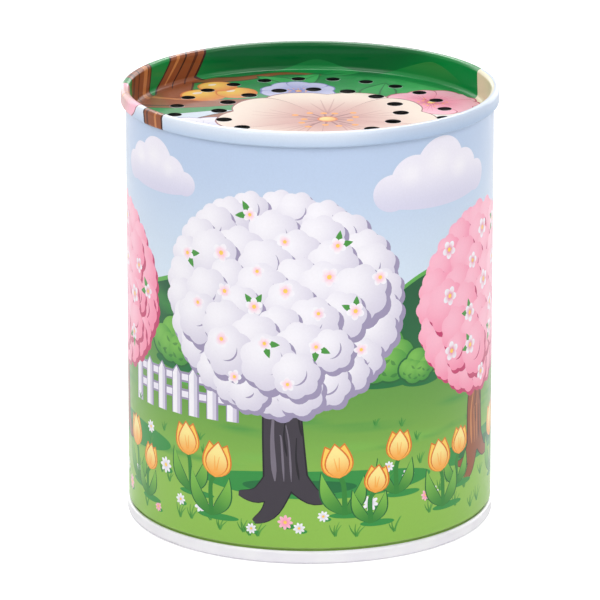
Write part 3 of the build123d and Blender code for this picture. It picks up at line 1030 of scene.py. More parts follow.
    def draw_leaves(self) -> None:
        """Draws the leaves behind the flowers."""
        art = self.art
        for root, length, width, turn, bow in (((-4, 16), 12, 6, 62, 0.08), ((-3, 17), 10, 5, 128, -0.08),
                                               ((14, 6), 13, 6.5, 34, -0.06), ((12, 8), 12, 6, 84, 0.06),
                                               ((-12, -6), 12, 6, 214, 0.08), ((-14, -12), 11, 5, 262, -0.06),
                                               ((18, -12), 12, 6, -28, 0.08), ((5, -18), 10, 5, -62, 0.06),
                                               ((-28, 1), 9, 4.6, 168, -0.08), ((2, 26), 7, 3.6, 14, 0.08)):
            tip = away(root, length, turn)
            art.paint(leaf(root, length + 0.5, width + 0.8, turn, 0.45, bow), flat(Ink.LEAF_DARK))
            art.paint(leaf(root, length, width, turn, 0.45, bow), Wash(Ink.LEAF, Ink.LEAF_LIGHT, root, tip))
            rib = [root, away(root, 0.5 * length, turn + 60 * bow), tip]
            art.paint(stroke(rib, 0.55, 0.2), flat(Ink.LEAF_DARK))

    def draw_flowers(self) -> None:
        """Draws the blossom, the small flowers and the berries."""
        art = self.art
        for spot, radius in (((-18.5, 11.5), 3.8), ((-12.8, 13.2), 3.4), ((-16.2, 17.6), 3.2)):
            art.paint(ellipse(spot, radius + 0.3, radius + 0.3), flat(Ink.AMBER_LINE))
            art.paint(ellipse(spot, radius, radius), ball(Ink.YOLK, Ink.AMBER_LINE, spot, radius, 1.9))
            gleam = away(spot, 0.48 * radius, 128)
            art.paint(ellipse(gleam, 0.26 * radius, 0.17 * radius, 38), flat(Ink.CREAM))
        blush = (Ink.PETAL_LIGHT, Ink.BLUSH, Ink.BLUSH_LINE, Ink.BLUSH_DEEP)
        self.blossom(away((0, 0), 34, 191), 8.6, 34, blush)
        self.blossom((-18.5, -13.5), 9.5, 20, (Ink.BLOSSOM, Ink.LILAC_LIGHT, Ink.LILAC_DEEP, Ink.LILAC_DEEP))
        self.blossom((21, 6.5), 8.0, 50, (Ink.PETAL_LIGHT, Ink.PETAL, Ink.PETAL_LINE, Ink.PETAL_LINE))
        self.blossom((-2, 14.5), 6.2, 0, (Ink.LILAC_LIGHT, Ink.LILAC, Ink.LILAC_DEEP, Ink.LILAC_DEEP))
        self.blossom((3, -5), 18.0, 90, (Ink.CREAM, Ink.BLUSH, Ink.BLUSH_LINE, Ink.BLUSH_DEEP))
        self.blossom((20.5, -17), 6.6, 10, (Ink.BLOSSOM, Ink.CREAM_SHADE, Ink.BLUSH_LINE, Ink.BLUSH_DEEP))

    def blossom(self, centre: Point, size: float, turn: float, inks: tuple[Ink, Ink, Ink, Ink]) -> None:
        """Draws one large blossom of five veined petals, with its stamens.

        Args:
            centre: its middle.
            size: its radius.
            turn: degrees from level to the first petal.
            inks: for the petals' tips, their roots, their outlines and their veins.
        """
        art = self.art
        tip, root, line, vein = inks
        for i in (0, 2, 4, 1, 3):
            angle = turn + 72 * i
            inner, outer = away(centre, 0.2 * size, angle), away(centre, 0.98 * size, angle)
            art.paint(petal(centre, size + 0.25, 1.16 * size + 0.5, angle), flat(line))
            art.paint(petal(centre, size, 1.16 * size, angle), Wash(root, tip, inner, outer))
            for spread, length in ((-15, 0.66), (-5, 0.78), (5, 0.74), (15, 0.62)):
                middle = away(centre, 0.45 * size, angle + 0.8 * spread)
                path = [away(centre, 0.2 * size, angle), middle, away(centre, length * size, angle + spread)]
                art.paint(stroke(path, 0.026 * size, 0.2), flat(vein, 0.5))
        art.paint(ellipse(centre, 0.2 * size, 0.2 * size), flat(root))
        art.haze(vein, centre, 0.34 * size, 0.34 * size, 0.7)
        for i in range(13):
            angle = turn + 360 * i / 13 + 9
            reach = (0.22 + 0.06 * (i % 3)) * size
            art.paint(stroke([centre, away(centre, reach, angle)], 0.03 * size, 0.6), flat(line, 0.8))
            art.paint(ellipse(away(centre, reach, angle), 0.034 * size, 0.034 * size), flat(Ink.AMBER))
        art.paint(ellipse(centre, 0.1 * size, 0.1 * size), flat(Ink.AMBER_LINE))
        heart = 0.08 * size
        art.paint(ellipse(centre, heart, heart), ball(Ink.YOLK_LIGHT, Ink.AMBER, centre, heart))


@dataclass
class Profile:
    """The section of a formed sheet: its middle line as (radius, height, bend) corners, joined by arcs.

    The places are on the sheet's outer face, lift outside the middle line.
    """

    corners: list[tuple[float, float, float]]
    lift: float
    arc_steps: int = 8
    stations: np.ndarray = field(init=False)
    places: np.ndarray = field(init=False)
    normals: np.ndarray = field(init=False)

    def __post_init__(self) -> None:
        """Rounds the corners and measures the distance along the sheet."""
        spots = [np.array(corner[:2], float) for corner in self.corners]
        middle, runs = [spots[0]], [self.run(spots[0], spots[1])]
        for before, spot, after, corner in zip(spots, spots[1:], spots[2:], self.corners[1:]):
            into, out, bend = self.run(before, spot), self.run(spot, after), corner[2]
            turn = math.atan2(into[0] * out[1] - into[1] * out[0], float(into @ out))
            arm = math.copysign(bend, turn) * np.array([into[1], -into[0]])
            hub = spot - into * bend * math.tan(abs(turn) / 2) - arm
            for i in range(self.arc_steps + 1):
                angle = turn * i / self.arc_steps
                middle.append(hub + self.turned(arm, angle))
                runs.append(self.turned(into, angle))
        middle.append(spots[-1])
        runs.append(self.run(spots[-2], spots[-1]))
        lengths = np.hypot(*np.diff(np.array(middle), axis=0).T)
        self.stations = np.concatenate([[0.0], np.cumsum(lengths)])
        self.normals = np.array([[-run[1], run[0]] for run in runs])
        self.places = np.array(middle) + self.normals * self.lift

    @staticmethod
    def run(start: np.ndarray, end: np.ndarray) -> np.ndarray:
        """Returns the unit direction from one place to another."""
        return (end - start) / np.hypot(*(end - start))

    @staticmethod
    def turned(arm: np.ndarray, angle: float) -> np.ndarray:
        """Returns a direction turned by an angle in radians."""
        cos, sin = math.cos(angle), math.sin(angle)
        return np.array([arm[0] * cos - arm[1] * sin, arm[0] * sin + arm[1] * cos])

    def at(self, lengths: np.ndarray) -> tuple[np.ndarray, np.ndarray]:
        """Finds places along the section.

        Args:
            lengths: distances along the sheet.

        Returns:
            The places and the normals there, as rows of radius and height.
        """
        place = np.stack([np.interp(lengths, self.stations, self.places[:, axis]) for axis in (0, 1)], 1)
        normal = np.stack([np.interp(lengths, self.stations, self.normals[:, axis]) for axis in (0, 1)], 1)
        return place, normal / np.hypot(*normal.T)[:, None]


@dataclass(frozen=True)
class HoleRing:
    """A ring of round sound holes."""

    radius: float
    count: int
    start: float
    diameter: float

    def centres(self) -> list[Point]:
        """Returns where the holes are."""
        return circle((0, 0), self.radius, self.count, self.start)


@dataclass
class Tin:
    """Sizes of the formed tin that the prints and finishes need."""

    height: float = 76.0
    wall_radius: float = 31.65
    sheet: float = 0.25
    seam_gap: float = 0.03
    panel_depth: float = 4.77
    panel_step: float = 0.35
    step_inset: float = 2.45
    step_run: float = 0.4
    wall_bend: float = 0.75
    seam_height: float = 2.6
    neck_top: float = 2.92
    seam_line: float = 0.14
    hole_rings: tuple[HoleRing, ...] = (HoleRing(23.3, 24, 5.0, 2.5), HoleRing(15.65, 16, -2.4, 2.8))
    # drop and widening of the painted highlight along each sound hole's near edge
    hole_highlight_offset: float = 0.14
    wall_film: float = 0.02
    top_film: float = 0.045
    bend_slack: float = 0.35

    def top_profile(self) -> Profile:
        """Traces the top's outer face from its middle, over the rim and down to the seam's open end.

        Returns:
            The section of the top's print.
        """
        layer = self.sheet + self.seam_gap
        line = self.wall_radius - self.sheet / 2
        panel = self.height - self.panel_depth - self.sheet / 2
        ring, crest = panel - self.panel_step, self.height - self.sheet / 2
        step = self.wall_radius - self.step_inset
        foot = self.height - self.seam_height + self.sheet / 2
        fold, round_over = layer - 0.01, 2 * layer - 0.01
        return Profile([
            (0.0, panel, 0.0),
            (step, panel, self.step_run / 2),
            (step + self.step_run, ring, self.step_run / 2),
            (line - layer, ring, self.wall_bend + self.bend_slack),
            (line - layer, crest, round_over),
            (line + 3 * layer, crest, round_over),
            (line + 3 * layer, foot, fold),
            (line + 1.6 * layer, foot, 0.0),
        ], self.sheet / 2 + self.top_film)


class PrintedSheet:
    """Turns artwork on a flat blank into a thin printed film that lies on the formed sheet."""

    merge_reach: float = 1e-5
    flat_angle: float = 0.01

    def __init__(self, name: str, artwork: Artwork) -> None:
        """Takes the artwork, whose first shape is the blank's outline.

        Args:
            name: the piece's name.
            artwork: what is printed.
        """
        self.name, self.artwork = name, artwork

    def holes(self) -> list[Outline]:
        """Returns the outlines of the blank's holes."""
        return []

    def rules(self) -> list[list[Point]]:
        """Returns the lines that the mesh is cut along so that it follows the formed shape."""
        raise NotImplementedError

    def formed(self, blank: np.ndarray) -> tuple[np.ndarray, np.ndarray]:
        """Returns where points of the blank lie on the formed sheet, and the normals there."""
        raise NotImplementedError

    def layout(self, corners: np.ndarray) -> np.ndarray:
        """Returns the texture coordinates of the triangles' corners."""
        raise NotImplementedError

    def cut(self) -> tuple[np.ndarray, list[tuple[list[int], tuple[int, ...]]], set[frozenset[int]]]:
        """Divides the blank into triangles, none of which crosses a rule or the edge of a shape.

        Returns:
            Points of the blank, triangles with the shapes seen on each, and the pairs of points along rules.
        """
        spots: list[Point] = []
        edges: list[tuple[int, int]] = []
        faces: list[list[int]] = []
        for outline in self.artwork.outlines + self.holes():
            faces.append(list(range(len(spots), len(spots) + len(outline))))
            spots += outline
        for rule in self.rules():
            edges += [(len(spots) + i, len(spots) + i + 1) for i in range(len(rule) - 1)]
            spots += rule
        inside_only = 1
        points, lines, found, _, sources, covers = delaunay_2d_cdt(
            [Vector(spot) for spot in spots], edges, faces, inside_only, self.merge_reach
        )
        shapes = len(self.artwork.outlines)
        kept = [(list(corners), self.seen(cover)) for corners, cover in zip(found, covers)
                if 0 in cover and max(cover) < shapes]
        ruled = {frozenset(line) for line, source in zip(lines, sources)
                 if source and min(source) < len(edges)}
        return np.array([tuple(point) for point in points]), kept, ruled

    def seen(self, cover: list[int]) -> tuple[int, ...]:
        """Leaves out the shapes of a pile that are hidden.

        Args:
            cover: the shapes that lie over a triangle.

        Returns:
            The topmost one that hides all below it, and those above it.
        """
        pile = sorted(cover)
        hiding = [place for place, shape in enumerate(pile) if self.artwork.washes[shape].cover == (1.0, 1.0)]
        return tuple(pile[hiding[-1]:])

    def joined(self) -> tuple[np.ndarray, np.ndarray, list[tuple[int, ...]]]:
        """Cuts the blank, and joins triangles on which the same shapes are seen, up to the rules.

        Returns:
            Points of the blank, triangles, and the shapes seen on each.
        """
        points, cut, ruled = self.cut()
        piles = sorted({pile for _, pile in cut})
        number = {pile: i for i, pile in enumerate(piles)}
        sheet = bmesh.new()
        pile_of = sheet.faces.layers.int.new("pile")
        spots = [sheet.verts.new((x, y, 0)) for x, y in points]
        for corners, pile in cut:
            sheet.faces.new([spots[i] for i in corners])[pile_of] = number[pile]
        sheet.verts.index_update()
        for edge in sheet.edges:
            sides = [face[pile_of] for face in edge.link_faces]
            edge.seam = len(set(sides)) > 1 or frozenset(vert.index for vert in edge.verts) in ruled
        sheet.normal_update()
        bmesh.ops.dissolve_limit(
            sheet, angle_limit=self.flat_angle, verts=sheet.verts, edges=sheet.edges, delimit={"SEAM"}
        )
        bmesh.ops.triangulate(sheet, faces=sheet.faces)
        bmesh.ops.delete(sheet, geom=[vert for vert in sheet.verts if not vert.link_faces], context="VERTS")
        sheet.verts.index_update()
        points = np.array([vert.co.xy[:] for vert in sheet.verts])
        triangles = np.array([[vert.index for vert in face.verts] for face in sheet.faces])
        seen = [piles[face[pile_of]] for face in sheet.faces]
        sheet.free()
        return points, triangles, seen

    def build(self) -> bpy.types.Object:
        """Builds the film with its inks in the corner attribute "ink".

        Returns:
            The finished piece.
        """
        blank, triangles, seen = self.joined()
        corners = blank[triangles]
        colours = np.zeros((*corners.shape[:2], 3))
        under: dict[int, list[int]] = {}
        for i, pile in enumerate(seen):
            for shape in pile:
                under.setdefault(shape, []).append(i)
        for shape in sorted(under):
            found = under[shape]
            colours[found] = self.artwork.washes[shape].over(corners[found], colours[found])
        places, normals = self.formed(blank)
        mesh = bpy.data.meshes.new(self.name)
        mesh.from_pydata((places * MM).tolist(), [], triangles.tolist())
        mesh.shade_smooth()
        mesh.normals_split_custom_set_from_vertices(normals.tolist())
        ink = mesh.attributes.new("ink", "FLOAT_COLOR", "CORNER")
        opaque = np.ones((*colours.shape[:2], 1))
        ink.data.foreach_set("color", np.concatenate([colours, opaque], 2).ravel())
        layout = mesh.uv_layers.new(name="OFBake")
        layout.data.foreach_set("uv", self.layout(corners).ravel())
        piece = bpy.data.objects.new(self.name, mesh)
        bpy.context.scene.collection.objects.link(piece)
        LOG.info("%s: %d shapes, %d triangles", self.name, len(self.artwork.outlines), len(triangles))
        return piece


class WallPrint(PrintedSheet):
    """The print round the wall. On its blank, u runs round from the front and v is the height."""

    column_turn: float = 1.5
    level_pitch: float = 1.2

    def __init__(self, tin: Tin) -> None:
        """Draws the wall's picture on a blank that stops short of the lock seam's line.

        Args:
            tin: sizes of the formed tin.
        """
        self.tin = tin
        self.half = math.pi * tin.wall_radius - tin.seam_line / 2
        self.low = tin.neck_top + 0.02
        self.high = tin.height - tin.seam_height + 0.8
        super().__init__("wall_print", Meadow(self.half, self.low, self.high).draw())

    def rules(self) -> list[list[Point]]:
        """Lays upright and level lines over the blank.

        Returns:
            The lines, as pairs of points.
        """
        pitch = math.radians(self.column_turn) * self.tin.wall_radius
        most = int(180 / self.column_turn) - 1
        columns = [[(i * pitch, self.low), (i * pitch, self.high)] for i in range(-most, most + 1)]
        count = int((self.high - self.low) / self.level_pitch)
        levels = [self.low + (self.high - self.low) * i / count for i in range(1, count)]
        return columns + [[(-self.half, v), (self.half, v)] for v in levels]

    def formed(self, blank: np.ndarray) -> tuple[np.ndarray, np.ndarray]:
        """Wraps the blank round the wall.

        Args:
            blank: points of the blank.

        Returns:
            Places and normals on the tin.
        """
        angle = blank[:, 0] / self.tin.wall_radius
        normals = np.stack([np.sin(angle), -np.cos(angle), np.zeros(len(angle))], 1)
        places = normals * (self.tin.wall_radius + self.tin.wall_film)
        places[:, 2] = blank[:, 1]
        return places, normals

    def layout(self, corners: np.ndarray) -> np.ndarray:
        """Lays the front half over the back half.

        Args:
            corners: the triangles' corners on the blank.

        Returns:
            Texture coordinates.
        """
        quarter = math.pi * self.tin.wall_radius / 2
        u, v = corners[..., 0], corners[..., 1]
        middle = u.mean(1, keepdims=True)
        front = np.abs(middle) < quarter
        across = np.where(front, u + quarter, np.where(middle > 0, u - quarter, u + 3 * quarter))
        side_edge, level_edge = 0.004, 0.003
        up = (0.5 - 2 * level_edge) * (v - self.low) / (self.high - self.low)
        up += np.where(front, 0.5 + level_edge, level_edge)
        return np.stack([side_edge + (1 - 2 * side_edge) * across / (2 * quarter), up], -1)


class TopPrint(PrintedSheet):
    """The print on the top, which runs from the panel up and over the rim. Its blank is a disc."""

    rim_rays: int = 240
    panel_rays: int = 120
    ring_pitch: float = 2.0
    widest_band: float = 1.2
    band: float = 0.9
    hole_corners: int = 24
    layout_reach: float = 0.494

    def __init__(self, tin: Tin) -> None:
        """Draws the top's picture on a blank as large as the formed sheet is long.

        Args:
            tin: sizes of the formed tin.
        """
        self.tin = tin
        self.profile = tin.top_profile()
        self.reach = float(self.profile.stations[-1])
        super().__init__("top_print", Posy(self.reach).draw())
        # painted highlight on the near edge of each sound hole
        for ring in tin.hole_rings:
            radius = ring.diameter / 2 + 0.6 * tin.hole_highlight_offset
            for x, y in ring.centres():
                self.artwork.paint(ellipse((x, y - tin.hole_highlight_offset), radius, radius), flat(Ink.RIM_HIGH, 0.5))

    def holes(self) -> list[Outline]:
        """Draws the sound holes.

        Returns:
            Their outlines on the blank.
        """
        return [
            circle(centre, ring.diameter / 2, self.hole_corners)
            for ring in self.tin.hole_rings
            for centre in ring.centres()
        ]

    def rules(self) -> list[list[Point]]:
        """Lays rings at each bend and rays outside the panel, with a coarser web inside it.

        Returns:
            The lines, as lists of points.
        """
        outer = list(self.profile.stations[1:-1])
        edge = float(outer[0])
        inner = [self.ring_pitch * i for i in range(1, int(edge / self.ring_pitch) + 1)]
        for a, b in zip(outer[:], outer[1:]):
            if b - a > self.widest_band:
                outer += list(np.linspace(a, b, int((b - a) / self.band) + 1)[1:-1])
        rings = [(radius, self.panel_rays) for radius in inner]
        rings += [(float(radius), self.rim_rays) for radius in sorted(outer)]
        lines = []
        for radius, count in rings:
            ring = circle((0, 0), radius, count)
            lines.append(ring + ring[:1])
        for i in range(self.rim_rays):
            turn = 360 * i / self.rim_rays
            lines.append([away((0, 0), edge, turn), away((0, 0), self.reach, turn)])
        for i in range(self.panel_rays):
            start, turn = (1 if i % 5 == 0 else 4) * self.ring_pitch, 360 * i / self.panel_rays
            lines.append([away((0, 0), start, turn), away((0, 0), edge, turn)])
        return lines

    def formed(self, blank: np.ndarray) -> tuple[np.ndarray, np.ndarray]:
        """Presses the blank into the top's shape.

        Args:
            blank: points of the blank.

        Returns:
            Places and normals on the tin.
        """
        reach = np.maximum(np.hypot(*blank.T), 1e-9)
        out = blank / reach[:, None]
        section, slope = self.profile.at(reach)
        places = np.concatenate([out * section[:, :1], section[:, 1:]], 1)
        return places, np.concatenate([out * slope[:, :1], slope[:, 1:]], 1)

    def layout(self, corners: np.ndarray) -> np.ndarray:
        """Returns the blank itself as texture coordinates."""
        return 0.5 + self.layout_reach * corners / self.reach


class Texture:
    """A new material with a Principled shader, and short ways to add nodes to it."""

    def __init__(self, name: str) -> None:
        """Makes the material.

        Args:
            name: the material's name.
        """
        self.material = bpy.data.materials.new(name)
        self.material.use_nodes = True
        self.tree = self.material.node_tree
        self.shader = self.tree.nodes["Principled BSDF"]
        self.place = self.node("ShaderNodeTexCoord").outputs["Object"]

    def node(self, kind: str) -> bpy.types.Node:
        """Adds a node of a kind."""
        return self.tree.nodes.new(kind)

    def link(self, source: bpy.types.NodeSocket, target: bpy.types.NodeSocket) -> None:
        """Joins two sockets."""
        self.tree.links.new(source, target)

    def feed(self, source: bpy.types.NodeSocket, name: str) -> None:
        """Joins a socket to one of the shader's."""
        self.link(source, self.shader.inputs[name])

    def even(self, **values: float) -> None:
        """Sets the shader's own sockets, named with underscores for spaces."""
        for name, value in values.items():
            self.shader.inputs[name.replace("_", " ")].default_value = value

    def scaled(self, stretch: tuple[float, float, float]) -> bpy.types.NodeSocket:
        """Stretches the piece's own coordinates.

        Args:
            stretch: how much along each axis.

        Returns:
            The coordinates.
        """
        mapping = self.node("ShaderNodeMapping")
        mapping.inputs["Scale"].default_value = stretch
        self.link(self.place, mapping.inputs["Vector"])
        return mapping.outputs["Vector"]

    def noise(
        self, size: float, detail: float, stretch: tuple[float, float, float] = (1.0, 1.0, 1.0)
    ) -> bpy.types.NodeSocket:
        """Adds noise.

        Args:
            size: of its lumps, in millimetres.
            detail: octaves.
            stretch: how much finer it is along each axis.

        Returns:
            The noise's value.
        """
        noise = self.node("ShaderNodeTexNoise")
        noise.inputs["Scale"].default_value = 1 / (size * MM)
        noise.inputs["Detail"].default_value = detail
        self.link(self.scaled(stretch), noise.inputs["Vector"])
        return noise.outputs["Fac"]

    def cells(self, size: float) -> bpy.types.NodeSocket:
        """Adds a pattern of cells.

        Args:
            size: of a cell, in millimetres.

        Returns:
            The distance from the nearest edge between cells.
        """
        cells = self.node("ShaderNodeTexVoronoi")
        cells.feature = "DISTANCE_TO_EDGE"
        cells.inputs["Scale"].default_value = 1 / (size * MM)
        self.link(self.place, cells.inputs["Vector"])
        return cells.outputs["Distance"]

    def rings(self, pitch: float, distortion: float = 1.5) -> bpy.types.NodeSocket:
        """Adds rings round the Z axis.

        Args:
            pitch: from one ring to the next, in millimetres.
            distortion: how uneven they are.

        Returns:
            The rings' value.
        """
        wave = self.node("ShaderNodeTexWave")
        wave.wave_type = "RINGS"
        wave.rings_direction = "Z"
        pitch_at_one = 0.314
        wave.inputs["Scale"].default_value = pitch_at_one / (pitch * MM)
        wave.inputs["Distortion"].default_value = distortion
        wave.inputs["Detail"].default_value = 3.0
        self.link(self.place, wave.inputs["Vector"])
        return wave.outputs["Fac"]

    def radius(self) -> bpy.types.NodeSocket:
        """Measures the distance from the Z axis.

        Returns:
            The distance in metres.
        """
        length = self.node("ShaderNodeVectorMath")
        length.operation = "LENGTH"
        self.link(self.scaled((1.0, 1.0, 0.0)), length.inputs[0])
        return length.outputs["Value"]

    def height(self) -> bpy.types.NodeSocket:
        """Measures the height.

        Returns:
            The height in metres.
        """
        parts = self.node("ShaderNodeSeparateXYZ")
        self.link(self.place, parts.inputs["Vector"])
        return parts.outputs["Z"]

    def ramp(self, value: bpy.types.NodeSocket, low: Point, high: Point) -> bpy.types.NodeSocket:
        """Maps a value from one range to another.

        Args:
            value: what is mapped.
            low: one input and its output.
            high: another input and its output.

        Returns:
            The mapped value.
        """
        mapper = self.node("ShaderNodeMapRange")
        ends = {"From Min": low[0], "From Max": high[0], "To Min": low[1], "To Max": high[1]}
        for name, number in ends.items():
            mapper.inputs[name].default_value = number
        self.link(value, mapper.inputs["Value"])
        return mapper.outputs["Result"]

    def times(self, first: bpy.types.NodeSocket, second: bpy.types.NodeSocket) -> bpy.types.NodeSocket:
        """Multiplies two values.

        Args:
            first: a value.
            second: another.

        Returns:
            Their product.
        """
        product = self.node("ShaderNodeMath")
        product.operation = "MULTIPLY"
        self.link(first, product.inputs[0])
        self.link(second, product.inputs[1])
        return product.outputs["Value"]

    def scale(self, colour: bpy.types.NodeSocket, value: bpy.types.NodeSocket) -> bpy.types.NodeSocket:
        """Scales a colour.

        Args:
            colour: what is scaled.
            value: how much by.

        Returns:
            The scaled colour.
        """
        scale = self.node("ShaderNodeVectorMath")
        scale.operation = "SCALE"
        self.link(colour, scale.inputs[0])
        self.link(value, scale.inputs["Scale"])
        return scale.outputs["Vector"]

    def mix(
        self, value: bpy.types.NodeSocket, first: Colour | bpy.types.NodeSocket,
        last: Colour | bpy.types.NodeSocket
    ) -> bpy.types.NodeSocket:
        """Mixes two colours.

        Args:
            value: 0 for the first, 1 for the last.
            first: an 8-bit sRGB colour or a socket.
            last: an 8-bit sRGB colour or a socket.

        Returns:
            The mixed colour.
        """
        mixer = self.node("ShaderNodeMix")
        mixer.data_type = "RGBA"
        self.link(value, mixer.inputs["Factor"])
        ends = [socket for socket in mixer.inputs if socket.type == "RGBA"]
        for socket, colour in zip(ends, (first, last)):
            if isinstance(colour, tuple):
                socket.default_value = rgba(colour)
            else:
                self.link(colour, socket)
        return next(socket for socket in mixer.outputs if socket.type == "RGBA")

    def bump(self, height: bpy.types.NodeSocket, depth: float, strength: float) -> None:
        """Raises the surface by a value.

        Args:
            height: what raises it.
            depth: millimetres from low to high.
            strength: share of the full effect.
        """
        bump = self.node("ShaderNodeBump")
        bump.inputs["Strength"].default_value = strength
        bump.inputs["Distance"].default_value = depth * MM
        self.link(height, bump.inputs["Height"])
        self.feed(bump.outputs["Normal"], "Normal")


@dataclass(frozen=True)
class PrintedLacquer:
    """The finish of a printed sheet: inks from the piece's own attribute under clear gloss varnish."""

    name: str
    roughness: float = 0.34
    varnish: float = 0.6
    varnish_roughness: float = 0.07

    def material(self) -> bpy.types.Material:
        """Builds the material: ink grain, and the varnish's orange peel.

        Returns:
            The material.
        """
        look = Texture(self.name)
        ink = look.node("ShaderNodeAttribute")
        ink.attribute_name = "ink"
        mottle = look.ramp(look.noise(0.35, 3), (0.3, 0.985), (0.7, 1.015))
        look.feed(look.scale(ink.outputs["Color"], mottle), "Base Color")
        peel = look.noise(1.8, 1)
        look.feed(look.ramp(peel, (0.3, self.roughness - 0.04), (0.7, self.roughness + 0.05)), "Roughness")
        look.bump(peel, 0.004, 0.22)
        look.even(Coat_Weight=self.varnish, Coat_Roughness=self.varnish_roughness, Specular_IOR_Level=0.1)
        return look.material


@dataclass(frozen=True)
class Enamel:
    """White coating on tinplate, with bare metal on the inner side of a wall."""

    name: str
    low_ink: Colour | None = None
    low_level: float = 0.0
    inner_radius: float = 0.0
    colour: Colour = Ink.COAT.value
    tint: Colour = (240, 236, 245)

    def material(self) -> bpy.types.Material:
        """Builds the material: coating with a faint mottle, ink near the foot, tinplate inside.

        Returns:
            The material.
        """
        look = Texture(self.name)
        colour = look.mix(look.ramp(look.noise(6, 2), (0.35, 0), (0.65, 1)), self.colour, self.tint)
        grain = look.noise(0.9, 2)
        if self.low_ink:
            above = look.ramp(look.height(), (self.low_level * MM, 0), ((self.low_level + 0.02) * MM, 1))
            colour = look.mix(above, self.low_ink, colour)
            inside = self.inner_radius
            within = look.ramp(look.radius(), (inside * MM, 1), ((inside + 0.02) * MM, 0))
            bare = look.times(above, within)
            tin = look.mix(look.ramp(grain, (0.3, 0), (0.7, 1)), (168, 170, 174), (196, 197, 200))
            colour = look.mix(bare, colour, tin)
            look.feed(bare, "Metallic")
        look.feed(colour, "Base Color")
        look.feed(look.ramp(grain, (0.3, 0.3), (0.7, 0.34)), "Roughness")
        look.bump(look.noise(2.4, 1), 0.003, 0.12)
        look.even(Coat_Weight=0.5, Coat_Roughness=0.1, Specular_IOR_Level=0.3)
        return look.material


@dataclass(frozen=True)
class Tinplate:
    """Bare tin-coated steel, with its rolling grain."""

    name: str
    colour: Colour
    shade: Colour

    def material(self) -> bpy.types.Material:
        """Builds the material: soft spangle, rolling lines along X.

        Returns:
            The material.
        """
        look = Texture(self.name)
        spangle = look.noise(2.4, 2)
        rolled = look.noise(0.5, 4, (0.08, 1, 1))
        look.feed(look.mix(look.ramp(spangle, (0.35, 0), (0.65, 1)), self.shade, self.colour), "Base Color")
        look.feed(look.ramp(rolled, (0.3, 0.26), (0.7, 0.42)), "Roughness")
        look.bump(rolled, 0.003, 0.5)
        look.even(Metallic=1.0)
        return look.material


@dataclass(frozen=True)
class MouldedPlastic:
    """Injection-moulded plastic with a fine tool texture."""

    name: str
    colour: Colour
    shade: Colour
    roughness: float = 0.42
    grain: float = 0.5
    depth: float = 0.006

    def material(self) -> bpy.types.Material:
        """Builds the material: flow marks in the colour, grain in the gloss.

        Returns:
            The material.
        """
        look = Texture(self.name)
        flow = look.noise(9, 3, (1, 1, 0.4))
        grain = look.noise(self.grain, 2)
        look.feed(look.mix(look.ramp(flow, (0.35, 0), (0.65, 1)), self.colour, self.shade), "Base Color")
        look.feed(look.ramp(grain, (0.3, self.roughness - 0.07), (0.7, self.roughness + 0.07)), "Roughness")
        look.bump(grain, self.depth, 0.5)
        return look.material


@dataclass(frozen=True)
class PressedFelt:
    """Grey wool felt with coloured flecks."""

    name: str
    colour: Colour = (148, 145, 140)
    shade: Colour = (104, 101, 98)
    fleck: Colour = (182, 160, 140)

    def material(self) -> bpy.types.Material:
        """Builds the material: matted fibres, flecks, and a soft nap.

        Returns:
            The material.
        """
        look = Texture(self.name)
        fibres = look.noise(0.35, 5, (1, 1, 2.5))
        tufts = look.noise(1.6, 3)
        body = look.mix(look.ramp(fibres, (0.3, 0), (0.7, 1)), self.shade, self.colour)
        flecks = look.ramp(look.noise(0.7, 1), (0.66, 0), (0.72, 0.7))
        look.feed(look.mix(flecks, body, self.fleck), "Base Color")
        look.feed(look.ramp(tufts, (0.3, 0.86), (0.7, 0.98)), "Roughness")
        look.bump(look.times(fibres, tufts), 0.12, 0.7)
        look.even(Sheen_Weight=0.35, Sheen_Roughness=0.5)
        return look.material


@dataclass(frozen=True)
class KraftCard:
    """Brown card with long fibres and darker specks."""

    name: str
    colour: Colour = (196, 160, 116)
    shade: Colour = (170, 132, 90)
    speck: Colour = (112, 82, 54)

    def material(self) -> bpy.types.Material:
        """Builds the material: fibres along the height, specks, and a dry surface.

        Returns:
            The material.
        """
        look = Texture(self.name)
        fibres = look.noise(0.5, 5, (1, 1, 0.2))
        body = look.mix(look.ramp(fibres, (0.3, 0), (0.7, 1)), self.shade, self.colour)
        specks = look.ramp(look.noise(0.45, 0), (0.74, 0), (0.78, 0.8))
        look.feed(look.mix(specks, body, self.speck), "Base Color")
        look.feed(look.ramp(fibres, (0.3, 0.8), (0.7, 0.93)), "Roughness")
        look.bump(fibres, 0.03, 0.6)
        return look.material


@dataclass(frozen=True)
class Metal:
    """Worked metal, with marks from turning or from rolling."""

    name: str
    colour: Colour
    shade: Colour
    turned: float = 0.0
    roughness: float = 0.3
    stain: Colour | None = None

    def material(self) -> bpy.types.Material:
        """Builds the material: tool marks, and stain in patches where it has any.

        Returns:
            The material.
        """
        look = Texture(self.name)
        marks = look.rings(self.turned) if self.turned else look.noise(0.3, 4, (1, 1, 0.06))
        patches = look.noise(3, 4)
        colour = look.mix(look.ramp(marks, (0.2, 0), (0.8, 1)), self.shade, self.colour)
        if self.stain:
            colour = look.mix(look.ramp(patches, (0.56, 0), (0.74, 0.6)), colour, self.stain)
        look.feed(colour, "Base Color")
        gloss = look.ramp(patches, (0.35, self.roughness - 0.06), (0.65, self.roughness + 0.1))
        look.feed(gloss, "Roughness")
        look.bump(marks, 0.006, 0.5)
        look.even(Metallic=1.0)
        return look.material


